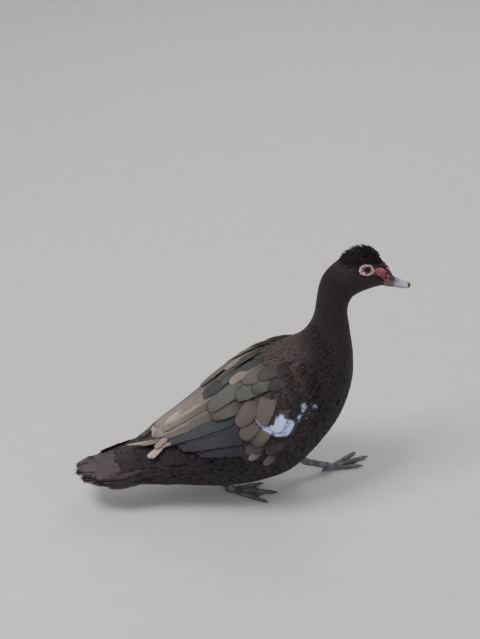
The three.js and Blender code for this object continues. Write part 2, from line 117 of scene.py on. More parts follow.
def bodyPoint(s, angle):
    # The angle runs from the back (0) over the left side (90) or the right one (-90) to the belly (180).
    s, angle = np.broadcast_arrays(np.asarray(s, float), np.asarray(angle, float))
    bx, bz, vx, vz, half = np.moveaxis(between(bodyRows, s + 1), -1, 0)
    a = np.radians(angle)
    x = (bx + vx) / 2 + np.cos(a) * (bx - vx) / 2
    z = (bz + vz) / 2 + np.cos(a) * (bz - vz) / 2
    return np.stack([x, np.sin(a) * half, z], -1)


def bodyHalf(s):
    return np.maximum(between(bodyRows, s + 1)[..., 4], 12)


def bodyNormal(s, angle):
    ds = bodyPoint(s + 0.02, angle) - bodyPoint(s - 0.02, angle)
    da = bodyPoint(s, angle + 1) - bodyPoint(s, angle - 1)
    return unit(np.cross(ds, da))


def onBody(s, angle, lift):
    return bodyPoint(s, angle) + bodyNormal(s, angle) * np.asarray(lift, float)[..., None]


# The solids stand on the middle of their box, so an eye shows how far the body's own frame is moved.
eyeMiddle = onBody(np.array(eye["s"]), np.array(-eye["angle"]), np.array(-eye["sunk"]))
shift = np.mean(np.array(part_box("eye_right")), axis=0) * 1000 - eyeMiddle


# Shader values with arithmetic: each operator adds a node.
class Field:
    def __init__(self, tree, socket):
        self.tree = tree
        self.socket = socket

    def node(self, kind, settings=None, values=None, out=0):
        made = self.tree.nodes.new(kind)
        for name, value in (settings or {}).items():
            setattr(made, name, value)
        for key, value in (values or {}).items():
            if isinstance(value, Field):
                self.tree.links.new(value.socket, made.inputs[key])
            else:
                made.inputs[key].default_value = value
        return Field(self.tree, made.outputs[out])

    def maths(self, operation, *values):
        return self.node("ShaderNodeMath", {"operation": operation}, dict(enumerate(values)))

    def __add__(self, other):
        return self.maths("ADD", self, other)

    __radd__ = __add__

    def __mul__(self, other):
        return self.maths("MULTIPLY", self, other)

    __rmul__ = __mul__

    def sine(self):
        return self.maths("SINE", self)

    def size(self):
        return self.maths("ABSOLUTE", self)

    def band(self, low, high):
        # 0 below low and 1 above high.
        settings = {"interpolation_type": "SMOOTHSTEP"}
        return self.node("ShaderNodeMapRange", settings, {"Value": self, "From Min": low, "From Max": high})

    def stretched(self, stretch):
        return self.node("ShaderNodeVectorMath", {"operation": "MULTIPLY"}, {0: self, 1: stretch})

    def noise(self, scale, detail=3.0):
        values = {"Vector": self, "Scale": scale, "Detail": detail, "Roughness": 0.55}
        return self.node("ShaderNodeTexNoise", None, values)

    def cells(self, scale):
        # The distance to the nearest of scattered points.
        values = {"Vector": self, "Scale": scale}
        return self.node("ShaderNodeTexVoronoi", {"feature": "F1"}, values, "Distance")

    def part(self, axis):
        return self.node("ShaderNodeSeparateXYZ", None, {0: self}, axis)

    def mixed(self, first, second):
        # Two colours mixed by this value: 0 gives the first, 1 the second.
        pair = [c if isinstance(c, Field) else (*linear(c), 1) for c in (first, second)]
        settings = {"data_type": "RGBA", "clamp_factor": True}
        return self.node("ShaderNodeMix", settings, {0: self, 6: pair[0], 7: pair[1]}, 2)

    def times(self, amount):
        # A colour darkened or lightened by a value.
        return self.node("ShaderNodeVectorMath", {"operation": "SCALE"}, {0: self, 3: amount})


class Material:
    def __init__(self, name):
        self.material = bpy.data.materials.new(name)
        self.material.use_nodes = True
        self.tree = self.material.node_tree
        self.shader = self.tree.nodes["Principled BSDF"]
        self.start = Field(self.tree, None)
        self.place = self.start.node("ShaderNodeTexCoord", None, None, "Object")

    def attribute(self, name, out):
        return self.start.node("ShaderNodeAttribute", {"attribute_name": name}, None, out)

    def set(self, values):
        for name, value in values.items():
            if isinstance(value, Field):
                self.tree.links.new(value.socket, self.shader.inputs[name])
            else:
                self.shader.inputs[name].default_value = value

    def bump(self, height, distance):
        values = {"Height": height, "Distance": distance, "Strength": 1.0}
        self.set({"Normal": self.start.node("ShaderNodeBump", None, values)})


def addPiece(name, points, quads, material, layers=None, bake=None, replaces=()):
    # A smooth mesh from points in millimetres and four-cornered faces.
    quads = np.asarray(quads, np.int32)
    mesh = bpy.data.meshes.new(name)
    mesh.vertices.add(len(points))
    mesh.vertices.foreach_set("co", ((points + shift) / 1000).astype(np.float32).ravel())
    mesh.loops.add(quads.size)
    mesh.loops.foreach_set("vertex_index", quads.ravel())
    mesh.polygons.add(len(quads))
    mesh.polygons.foreach_set("loop_start", np.arange(0, quads.size, 4, dtype=np.int32))
    mesh.polygons.foreach_set("use_smooth", np.ones(len(quads), bool))
    for layer, values in (layers or {}).items():
        kind, key = ("FLOAT_COLOR", "color") if values.shape[1] == 4 else ("FLOAT_VECTOR", "vector")
        attribute = mesh.attributes.new(layer, kind, "POINT")
        attribute.data.foreach_set(key, values.astype(np.float32).ravel())
    if bake is not None:
        uv = mesh.uv_layers.new(name="OFBake")
        uv.data.foreach_set("uv", bake[quads.ravel()].astype(np.float32).ravel())
    mesh.update(calc_edges=True)
    mesh.validate()
    mesh.materials.append(material.material)
    piece = bpy.data.objects.new(name, mesh)
    bpy.context.scene.collection.objects.link(piece)
    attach(piece, "root")
    if replaces:
        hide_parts(*replaces)
    return piece


def facesOf(index):
    # The four-cornered faces of a grid of point numbers.
    return np.stack([index[:-1, :-1], index[:-1, 1:], index[1:, 1:], index[1:, :-1]], -1).reshape(-1, 4)


def sheetFaces(rows, columns):
    # A sheet whose lower points follow its upper ones: both sides, and walls round the edge.
    top = np.arange(rows * columns).reshape(rows, columns)
    low = top + top.size
    edges = [(top[0], low[0]), (low[-1], top[-1]), (low[:, 0], top[:, 0]), (top[:, -1], low[:, -1])]
    walls = [np.stack([a[:-1], a[1:], b[1:], b[:-1]], -1) for a, b in edges]
    return np.concatenate([facesOf(top)[:, ::-1], facesOf(low), *walls])


def closedGrid(grid, flip=False):
    # A tube of points (rows, around, 3) closed by a middle point at each end, as fans of four-cornered faces.
    rows, around, _ = grid.shape
    points = np.concatenate([grid.reshape(-1, 3), grid[:1].mean(1), grid[-1:].mean(1)])
    index = np.arange(rows * around).reshape(rows, around)
    quads = [facesOf(np.pad(index, ((0, 0), (0, 1)), mode="wrap"))]
    for first, middle, turn in ((0, rows * around, 1), ((rows - 1) * around, rows * around + 1, -1)):
        j = np.arange(0, around, 2)
        fan = np.stack([np.full(len(j), middle), first + (j + 2) % around, first + j + 1, first + j], -1)
        quads.append(fan[:, ::turn])
    quads = np.concatenate(quads)
    return points, quads[:, ::-1] if flip else quads


def joined(parts):
    # Several (points, quads) pairs as one.
    points, quads, offset = [], [], 0
    for p, q in parts:
        points.append(p)
        quads.append(q + offset)
        offset += len(p)
    return np.concatenate(points), np.concatenate(quads)


def stage(text):
    print("scene:", text, flush=True)


# Vanes. One pattern of points serves every feather of a group: u runs 0..1 from root to tip and v -1..1 across.


def vanePattern(along, across):
    u, v = np.meshgrid(np.linspace(0, 1, along + 1), np.linspace(-1, 1, across + 1), indexing="ij")
    top = np.arange(u.size).reshape(u.shape)
    under = top.copy()
    under[1:-1, 1:-1] = top.size + np.arange((along - 1) * (across - 1)).reshape(along - 1, across - 1)
    us = np.concatenate([u.ravel(), u[1:-1, 1:-1].ravel()])
    vs = np.concatenate([v.ravel(), v[1:-1, 1:-1].ravel()])
    face = np.where(np.arange(len(us)) < top.size, 1.0, -1.0)
    return us, vs, face, np.concatenate([facesOf(top), facesOf(under)[:, ::-1]])


def wingEdges(s):
    # The angles of the folded wing's lower and upper edges.
    return [np.interp(s, *np.array(edge).T) for edge in (wingEdgeLow, wingEdgeHigh)]


def wingLift(s, angle):
    # How far a folded wing stands off the body, less towards its edges.
    low, high = wingEdges(s)
    q = np.clip((np.abs(angle) - high) / (low - high), 0, 1)
    rim = 0.7 + 0.3 * smooth(0, 0.25, q) - 0.25 * smooth(0.75, 1, q)
    return np.interp(s, *np.array(wingDepth).T) * rim


def bodyFrame(get, reach, look):
    # The midline of a feather that lies along the body: centre, across, normal, side and the body's radius.
    s = get["s0"] + (get["s1"] - get["s0"]) * reach
    a = get["a0"] + (get["a1"] - get["a0"]) * reach + get["bend"] * 4 * reach * (1 - reach)
    side = np.where(get["a0"] < 0, -1.0, 1.0)
    if look.get("white"):
        a = side * np.maximum(side * a, 0.6)
    lift = get["lift0"] + (get["lift1"] - get["lift0"]) * smooth(0, look.get("risen", 0.7), reach)
    lift = lift + get["lifted"] * reach**3
    if look.get("onWing"):
        lift = lift + wingLift(s, a)
    centre = onBody(s, a, lift)
    normal = bodyNormal(s, a)
    turn = get["a1"] - get["a0"] + get["bend"] * 4 * (1 - 2 * reach)
    ahead = bodyPoint(s + (get["s1"] - get["s0"]) * 0.02, a + turn * 0.02) - bodyPoint(s, a)
    return centre, unit(np.cross(ahead, normal)), normal, side, bodyHalf(s), s, a


def tailFrame(get, reach, look):
    # A tail feather's midline: it fans out from the tail's root and falls away towards the sides.
    turn = get["turn"]
    out = get["long"] * reach
    x = tail["root"] - out * np.cos(turn)
    y = get["root"] + out * np.sin(turn)
    z = tail["rise"] - get["stack"] - tail["fall"] * out - tail["dome"] * y * y + get["lifted"] * reach**2
    centre = np.stack([x, y, z], -1)
    fanned = np.broadcast_to(turn, x.shape)
    across = np.stack([np.sin(fanned), np.cos(fanned), -2 * tail["dome"] * y], -1)
    normal = np.stack([0 * x - tail["fall"], 2 * tail["dome"] * y, 1 + 0 * x], -1)
    side = np.where(get["root"] < 0, -1.0, 1.0)
    return centre, unit(across), unit(normal), side, 1e4, 0 * x, y


def crestFrame(get, reach, look):
    # A lock of the crest: it leaves the crown along the normal and bends back.
    s = get["s0"] + 0 * reach
    a = get["a0"] + 0 * reach
    root = onBody(s, a, -1.2)
    out = bodyNormal(s, a)
    rear = unit(bodyPoint(s - 0.3, a) - bodyPoint(s, a))
    across = unit(np.cross(out, rear))
    long = get["long"]
    back = long * (get["lean"] * reach + 0.45 * reach**2)
    high = long * (0.9 * reach - 0.25 * reach**2)
    wander = long * get["bend"] * reach**1.5
    centre = root + rear * back[..., None] + out * high[..., None] + across * wander[..., None]
    ahead = unit(rear * (get["lean"] + 0.9 * reach)[..., None] + out * (0.9 - 0.5 * reach)[..., None])
    return centre, across, unit(np.cross(across, ahead)), np.sign(a + 1e-6), 1e4, s, a


def vanes(rows, look, pattern, frameOf=bodyFrame, spot=0.003):
    # Feathers as one mesh. Each array in rows holds one value a feather.
    us, vs, face, quads = pattern
    count = len(rows["half"])
    u = us[None, :]
    v = vs[None, :]
    for key in ("bend", "lifted", "tilt", "frayed"):
        rows.setdefault(key, np.zeros(count))
    rows.setdefault("chance", chance.random(count))
    get = {key: np.asarray(value, float)[:, None] for key, value in rows.items() if np.ndim(value) == 1}
    phase = get["chance"] * 50
    # The rows of points sweep forward with the barbs, and round off at the tip as a circle would.
    if "long" not in rows:
        reached = bodyPoint(rows["s1"], rows["a1"]) - bodyPoint(rows["s0"], rows["a0"])
        rows["long"] = np.linalg.norm(reached, axis=1)
    blunt = np.minimum(look["round"] * get["half"] / rows["long"][:, None], 0.45)
    reach = u - blunt * (1 - np.sqrt(1 - 0.98 * v**2)) * u**3 + look["sweep"] * np.abs(v) * u * (1 - u)
    fray = look["rag"] * (1 + 3 * get["frayed"])
    comb = np.sin(v * 31 + phase) + 0.7 * np.sin(v * 67 - phase)
    reach = reach - fray * 0.12 * smooth(0.82, 1, u) * (1 + comb)
    centre, across, normal, side, radius, s, a = frameOf(get, reach, look)
    profile = look["root"] + (1 - look["root"]) * smooth(0, look["full"], u)
    profile = profile * np.sqrt(np.clip(1 - look["narrow"] * smooth(0.55, 1, u) ** 1.5, 0.02, 1))
    ragged = np.sin(u * 41 + phase + 2 * np.sign(v)) + np.sin(u * 97 + 3 * phase - np.sign(v))
    notch = np.clip(np.sin(u * 17 + phase * 1.7 + np.sign(v)), 0, 1) ** 24
    profile = profile * (1 - fray * (0.3 + 0.15 * ragged) - look["split"] * notch * smooth(0.3, 0.8, u))
    out = v * get["half"] * profile
    thick = look["thick"] * (1 - v**2) * (1 - 0.4 * u) * np.clip(u * 12, 0, 1) * np.clip((1 - u) * 12, 0, 1)
    rachis = look["rachis"] * np.exp(-((v / 0.1) ** 2)) * (1 - 0.8 * u)
    ripple = look["ripple"] * np.sin(u * 46 + np.abs(v) * 15 + phase) * v**2 * smooth(0.05, 0.3, u)
    level = face * thick / 2 - look["cup"] * out**2 / (2 * radius) + np.where(face > 0, rachis, 0)
    level = level + look["wave"] * np.sin(u * 7 + phase) * v * u + ripple
    level = level + (look["tilt"] + get["tilt"]) * out * side
    points = centre + across * out[..., None] + normal * level[..., None]
    if look.get("white"):
        # The station and angle under each point, off the midline.
        overS = (bodyPoint(s + 0.02, a) - bodyPoint(s - 0.02, a)) / 0.04
        overA = (bodyPoint(s, a + 1) - bodyPoint(s, a - 1)) / 2
        s = s + out * np.sum(across * overS, -1) / np.sum(overS**2, -1)
        a = a + out * np.sum(across * overA, -1) / np.sum(overA**2, -1)
    colour = vaneColours(rows, look, u, v, s, a)
    layers = {
        "shade": np.concatenate([colour.reshape(-1, 3), np.ones((points.shape[0] * points.shape[1], 1))], 1),
        "vane": np.stack([np.broadcast_to(c, points.shape[:2]).ravel() for c in (u, v, get["chance"])], -1),
    }
    allQuads = (quads[None] + (np.arange(count) * len(us))[:, None, None]).reshape(-1, 4)
    return points.reshape(-1, 3), allQuads, layers, bakeOf(rows, us, vs, spot)


def bakeOf(rows, us, vs, spot):
    # Each feather's patch lies at its root's place on the body laid flat. Few large ones get strips.
    count = len(rows["half"])
    if spot is None:
        columns = math.ceil(math.sqrt(count / 3))
        lines = math.ceil(count / columns)
        i = np.arange(count)
        low = np.stack([i % columns / columns, i // columns / lines], -1)
        size = np.array([0.94 / columns, 0.94 / lines])
        local = np.stack([us, (vs + 1) / 2], -1)
        return (low[:, None] + 0.003 + local[None] * size).reshape(-1, 2)
    place = np.stack([rows["s0"], np.asarray(rows["a0"], float)], -1)
    low, high = place.min(0), place.max(0)
    flat = 0.004 + 0.99 * (place - low) / (high - low + 1e-9)
    local = np.stack([us - 0.5, vs / 2], -1) * spot
    return (flat[:, None] + local[None]).reshape(-1, 2)


def vaneColours(rows, look, u, v, s, a):
    # Base colour, paler tip, painted shade towards the root, streaks along the barbs, edge, white patch and
    # quill, one over the other.
    phase = rows["chance"][:, None] * 60
    wavy = u + 0.05 * np.sin(v * 17 + phase) + 0.03 * np.sin(v * 41 - phase)
    base = rows["colour"][:, None, :]
    colour = blend(base, rows["tip"][:, None, :], look["tipAmount"] * smooth(look["tipFrom"], 1, wavy))
    streak = 1 + look["streak"] * np.sin(v * 9 + u * 2 + phase * 1.5) * np.sin(v * 23 + 1 + phase)
    # Painted shade: each vane darkens towards its root, where the feathers lying over it would shade it; the
    # barb streaks multiply in here too.
    colour = colour * ((0.6 + 0.4 * smooth(0.02, 0.5, u)) * streak)[..., None]
    rim = np.maximum(np.abs(v) + 0.04 * np.sin(u * 33 + phase), smooth(0.5, 1, u))
    colour = blend(colour, rows["edgeColour"][:, None, :], look["edge"] * smooth(look["edgeFrom"], 1, rim))
    if look.get("white"):
        # The white patch, whose blue tint is painted sky light.
        colour = blend(colour, linear(colours["white"]), whiteAmount(s, a, phase, v))
    quill = look["quill"] * np.exp(-((v / 0.06) ** 2)) * (1 - 0.5 * u)
    return np.clip(blend(colour, rows["quillColour"][:, None, :], quill), 0, 1)


# The white patch on the wing coverts, as a loop of (station, angle), and the flecks ahead of it as (station,
# angle, radius in millimetres). The distances are wide millimetres a station and high millimetres a degree.
whitePatch = {
    "loop": [
        (4.95, 59), (5.03, 65), (5.18, 67.5), (5.43, 69.5), (5.58, 64.5), (5.73, 62.5), (5.75, 66.5),
        (6.03, 72.5), (6.03, 75), (5.78, 82.5), (5.38, 77.5), (5.1, 69),
    ],
    "flecks": [
        (6.5, 68, 4.8), (6.28, 73.5, 4.4), (6.62, 76.5, 2.2), (6.93, 75.5, 3.0), (6.85, 71, 2.2),
        (6.5, 79, 2.0),
    ],
    "wide": 46, "high": 1.45, "soft": 0.9,
}


def whiteAmount(s, a, phase, v):
    # 1 inside the loop or a fleck, 0 outside, from the signed distance to the nearest edge.
    scale = np.array([whitePatch["wide"], whitePatch["high"]])
    loop = np.array(whitePatch["loop"]) * scale
    here = np.stack([s, np.abs(a)], -1) * scale
    here = here + (0.9 * np.sin(v * 26 + phase))[..., None]
    nearest = np.full(here.shape[:-1], 1e9)
    inside = np.zeros(here.shape[:-1], bool)
    for p, q in zip(loop, np.roll(loop, -1, 0)):
        along = np.clip(((here - p) @ (q - p)) / ((q - p) @ (q - p)), 0, 1)
        nearest = np.minimum(nearest, np.linalg.norm(here - p - along[..., None] * (q - p), axis=-1))
        crosses = (p[1] > here[..., 1]) != (q[1] > here[..., 1])
        slope = (q[0] - p[0]) / (q[1] - p[1] + 1e-9)
        inside ^= crosses & (here[..., 0] < p[0] + slope * (here[..., 1] - p[1]))
    amount = smooth(-whitePatch["soft"], whitePatch["soft"], np.where(inside, nearest, -nearest))
    for spot in whitePatch["flecks"]:
        away = np.linalg.norm(here - np.array(spot[:2]) * scale, axis=-1)
        amount = np.maximum(amount, 1 - smooth(spot[2] * 0.6, spot[2], away))
    return amount


colours = {
    "body": (30, 21, 29), "bodyEdge": (40, 31, 36), "breast": (31, 22, 29), "neck": (30, 21, 28),
    "neckEdge": (58, 47, 49), "head": (36, 26, 33), "crest": (22, 17, 22), "crestPale": (62, 51, 52),
    "mantle": (40, 32, 35), "mantleEdge": (124, 110, 102), "flank": (29, 20, 28), "greyGreen": (86, 85, 82),
    "greenDark": (64, 62, 61), "olive": (90, 85, 80), "blueGreen": (58, 62, 66), "slate": (43, 41, 49),
    "slateWarm": (54, 48, 54), "slateDark": (36, 33, 39), "tan": (162, 146, 137), "tanPale": (192, 175, 162),
    "brown": (98, 88, 84), "brownPale": (116, 104, 98), "plum": (60, 52, 55), "white": (190, 208, 255),
    # white is tinted blue: painted blue sky light on a patch that is white.
    "tail": (76, 64, 66), "tailEdge": (98, 84, 84), "pale": (150, 147, 154), "tailDark": (46, 37, 41),
    "cream": (224, 210, 184),
}


def varied(name, count, spread=0.12):
    # A colour for each of several feathers, a little lighter or darker.
    return linear(colours[name]) * (1 + spread * chance.standard_normal((count, 1)))


def painted(rows, base, edge, tip=None, quill=None, spread=0.14):
    count = len(rows["half"])
    rows["colour"] = varied(base, count, spread)
    rows["edgeColour"] = varied(edge, count, spread)
    rows["tip"] = varied(tip or edge, count, spread)
    rows["quillColour"] = varied(quill or base, count, spread)
    return rows


def featherMaterial(name, rough, barb, relief, gloss=0.0):
    made = Material(name)
    shade = made.attribute("shade", "Color")
    across = made.attribute("vane", "Vector").part(1).size()
    along = made.attribute("vane", "Vector").part(0)
    barbs = ((along + across * 0.35) * (barb * 6.283)).sine()
    grain = made.place.noise(900.0, 2.0)
    cloud = made.place.noise(60.0)
    made.set({
        "Base Color": shade.times(0.7 + cloud * 0.35 + grain * 0.25 + barbs * 0.05),
        "Roughness": grain * 0.2 + (rough - 0.1),
        "Metallic": gloss,
        "Specular IOR Level": 0.3,
    })
    made.bump(barbs * 0.5 + grain, relief)
    return made


materials = {
    "body": featherMaterial("bodyFeathers", 0.6, 18.0, 0.0002),
    "neck": featherMaterial("neckFeathers", 0.6, 12.0, 0.0002),
    "head": featherMaterial("headFeathers", 0.5, 8.0, 0.00012),
    "wing": featherMaterial("wingFeathers", 0.5, 60.0, 0.00022, 0.05),
    "tail": featherMaterial("tailFeathers", 0.55, 60.0, 0.00022),
}


def addCoat(name, rows, look, finish, pattern, frameOf=bodyFrame, spot=0.003, replaces=()):
    points, quads, layers, bake = vanes(rows, look, pattern, frameOf, spot)
    piece = addPiece(name, points, quads, materials[finish], layers, bake, replaces)
    stage(f"{name}: {len(rows['half'])} feathers, {2 * len(quads)} triangles")
    return piece


# Skin under the coat: one surface for all the flesh, inside the solids by the coat's depth.
skin = {
    "rows": 200, "around": 128,
    "depth": [(0, 1.6), (1, 2.6), (3, 3.4), (9, 3.2), (11, 2.4), (13, 1.6), (15, 1.2), (16.5, 0.8), (18, 0.5)],
}


def depthAt(s):
    return np.interp(s, *np.array(skin["depth"]).T)


def skinMaterial():
    made = Material("skin")
    tone = made.place.noise(220.0).mixed((26, 20, 19), (58, 47, 42))
    made.set({"Base Color": tone, "Roughness": 0.85})
    made.bump(made.place.stretched((1, 2.5, 2.5)).noise(700.0), 0.0006)
    return made


skinFinish = skinMaterial()
skinS = np.linspace(-0.75, 18, skin["rows"])[:, None]
skinAngle = np.linspace(0, 360, skin["around"], endpoint=False)[None, :]
skinGrid = onBody(skinS, skinAngle, -depthAt(skinS) + 0 * skinAngle)
skinPoints, skinQuads = closedGrid(skinGrid, flip=True)
covered = ("torso", "neck_lower", "neck_upper")
addPiece("skin", skinPoints, skinQuads, skinFinish, replaces=covered)
stage("skin")

# Body feathers, in rings from the tail to the head.

ringLook = {
    "round": 0.8, "sweep": 0.05, "root": 0.6, "full": 0.5, "narrow": 0.35, "rag": 0.35, "split": 0.12,
    "cup": 1.0,
    "rachis": 0.0, "wave": 0.03, "ripple": 0.0, "thick": 0.3, "tilt": 0.0, "tipAmount": 0.3, "tipFrom": 0.4,
    "edge": 0.35, "edgeFrom": 0.7, "streak": 0.12, "quill": 0.0,
}
# Feather length and half width by station.
featherSize = [
    (0, 48, 9), (1, 42, 9), (2, 34, 9), (4, 28, 8.5), (6, 23, 7.5), (8, 17, 5.6), (9.5, 13, 4.4), (11, 10, 3.3),
    (13, 8, 2.5), (14.5, 6.5, 2.0), (16, 5, 1.6), (18, 3.6, 1.3),
]
# The folded wing by station: the angles of its lower and upper edges, and how far it stands off the body.
wingEdgeLow = [
    (0.4, 10), (1, 17), (1.6, 27), (2.5, 48), (3.2, 68), (4.1, 82), (4.7, 88), (5.6, 94), (6.2, 94), (7, 84),
    (7.6, 76),
]
wingEdgeHigh = [(0.4, 1), (4, 3), (5.5, 8), (6.5, 20), (7.6, 40)]
wingDepth = [
    (0.4, 14), (1, 9), (1.6, 7), (2.5, 5.5), (3.5, 6.5), (4.5, 8.5), (5.5, 9), (6.3, 6.5), (7, 3), (7.6, 0.5),
]


# Where no small feathers grow: round the eye, from a station on towards the bill, and on the bill's root.
bare = {"long": 0.68, "high": 18.5, "lore": 16.4, "front": 17.62}
# How far the back's feathers reach over the wing in degrees, where the shoulders begin, and their half width.
# The pale scallops fade out over these stations and angles.
mantle = {"over": 6, "shoulder": 7.1, "half": 66, "paleStations": (7.2, 9.2), "paleAngles": (22, 56)}


def ringFeathers(low, high, keep, close=1.0, scale=1.0, droop=0.0):
    # Feathers in rings across the body between two stations, where keep(s, angle) allows.
    out = {key: [] for key in ("s0", "a0", "s1", "a1", "half", "long")}
    s = low
    turn = 0
    while s < high:
        long, half = (scale * np.interp(s, *np.array(featherSize).T[[0, k]]) for k in (1, 2))
        fine = np.linspace(-180, 180, 721)
        ring = bodyPoint(np.full(721, s), fine)
        arc = np.concatenate([[0], np.cumsum(np.linalg.norm(np.diff(ring, axis=0), axis=1))])
        count = max(6, int(arc[-1] / (half * 1.25 * close)))
        spots = (np.arange(count) + 0.5 * (turn % 2)) / count * arc[-1] + chance.normal(0, 0.16 * half, count)
        a = np.interp(spots, arc, fine)
        a[0] = 180 - 0.001 if turn % 2 == 0 else a[0]
        here = s + chance.normal(0, 0.06, count) * long / 25
        speed = np.linalg.norm(bodyPoint(here + 0.01, a) - bodyPoint(here - 0.01, a), axis=1) / 0.02
        size = 1 + 0.1 * chance.standard_normal(count)
        kept = keep(here, a)
        for key, value in (
            ("s0", here), ("a0", a), ("s1", here - long * size / np.maximum(speed, 9)), ("half", half * size),
            ("long", long * size), ("a1", a + droop * np.sign(a) + chance.normal(0, 1.5, count)),
        ):
            out[key].append(value[kept])
        s += 0.3 * close * long / (np.median(speed) + 1e-6)
        turn += 1
    return {key: np.concatenate(value) for key, value in out.items()}


def underWing(s, angle, margin):
    low, high = wingEdges(s)
    inside = (np.abs(angle) < low - margin) & (np.abs(angle) > high + margin)
    return inside & (s > 1.2) & (s < 7.3)


def bareFace(s, angle):
    # The ring round the eye and the strip from it to the bill.
    a = np.abs(angle)
    ring = ((s - eye["s"]) / bare["long"]) ** 2 + ((a - eye["angle"]) / bare["high"]) ** 2 < 1
    lore = (s > bare["lore"]) & (np.abs(a - 80) < 20 + 16 * (s - bare["lore"]))
    return ring | lore | (s > bare["front"])


def lifts(rows):
    # Roots down by the skin, tips near the solids' surface.
    depth = depthAt(rows["s0"])
    rows["lift0"] = -depth * 0.6 - 0.2
    rows["lift1"] = -depth * 0.12 + 0.07 * chance.standard_normal(len(depth))
    return rows


def mantleArea(s, a):
    # The back between the wings, and the shoulders ahead of them.
    return (a < wingEdges(s)[1] + mantle["over"]) | ((s > mantle["shoulder"]) & (a < mantle["half"]))


def anywhere(s, a):
    return np.ones(np.shape(a), bool)


bodyPattern = vanePattern(6, 4)
smallPattern = vanePattern(4, 4)
# Each coat: the stations it covers, where feathers are kept, its colour and edge colour, and its material.
coats = {
    "coatBelly": {
        "low": 0.6, "high": 5.4, "keep": lambda s, a: ~underWing(s, a, 9) & (np.abs(a) > 24),
        "paint": ("flank", "bodyEdge"), "finish": "body",
    },
    "coatBreast": {
        "low": 5.2, "high": 9.6, "keep": lambda s, a: ~underWing(s, a, 9) & (np.abs(a) > 62),
        "paint": ("breast", "bodyEdge"), "finish": "body",
    },
    "coatMantle": {
        "low": 2.2, "high": 9.8, "keep": lambda s, a: mantleArea(s, np.abs(a)),
        "paint": ("mantle", "mantleEdge"), "finish": "body", "onWing": True, "scalloped": True, "close": 1.15,
    },
    "coatNeck": {"low": 9.4, "high": 11.7, "keep": anywhere, "paint": ("neck", "neckEdge"), "finish": "neck"},
    "coatNape": {"low": 11.7, "high": 14.0, "keep": anywhere, "paint": ("neck", "neckEdge"), "finish": "neck"},
    "coatHead": {
        "low": 13.7, "high": 17.7, "keep": lambda s, a: ~bareFace(s, a),
        "paint": ("head", "neck"), "finish": "head",
    },
}
for name, row in coats.items():
    rows = ringFeathers(row["low"], row["high"], row["keep"], close=row.get("close", 0.92))
    rows = lifts(painted(rows, *row["paint"]))
    onHead = row["low"] > 13
    look = dict(ringLook, onWing=row.get("onWing", False))
    if row.get("scalloped"):
        look = dict(look, edge=0.95, edgeFrom=0.73, tipAmount=0.05, streak=0.05)
        pale = 1 - smooth(*mantle["paleStations"], rows["s0"])
        pale = pale * (1 - smooth(*mantle["paleAngles"], np.abs(rows["a0"])))
        for key in ("colour", "edgeColour", "tip"):
            rows[key] = linear(colours["breast"]) + (rows[key] - linear(colours["breast"])) * pale[:, None]
    pattern = smallPattern if onHead else bodyPattern
    addCoat(name, rows, look, row["finish"], pattern)

# Wings: a plain shell under the feathers, small coverts in rings, and the large feathers one by one.

wingLook = dict(
    ringLook, onWing=True, round=0.95, sweep=0.03, root=0.7, full=0.3, narrow=0.25, rag=0.12, split=0.1,
    rachis=0.4, wave=0.2, ripple=0.1, thick=0.5, tilt=0.045, tipAmount=0.5, tipFrom=0.35, edge=0.3,
    edgeFrom=0.86, streak=0.12,
    quill=0.3, white=True,
)
covertLook = dict(wingLook, rachis=0.2, split=0.08, edge=0.45, edgeFrom=0.8, quill=0.15)
smallLook = dict(
    covertLook, rachis=0.0, ripple=0.0, wave=0.1, thick=0.4, quill=0.0, edge=0.75, edgeFrom=0.76, tilt=0.03,
    tipAmount=0.15,
)

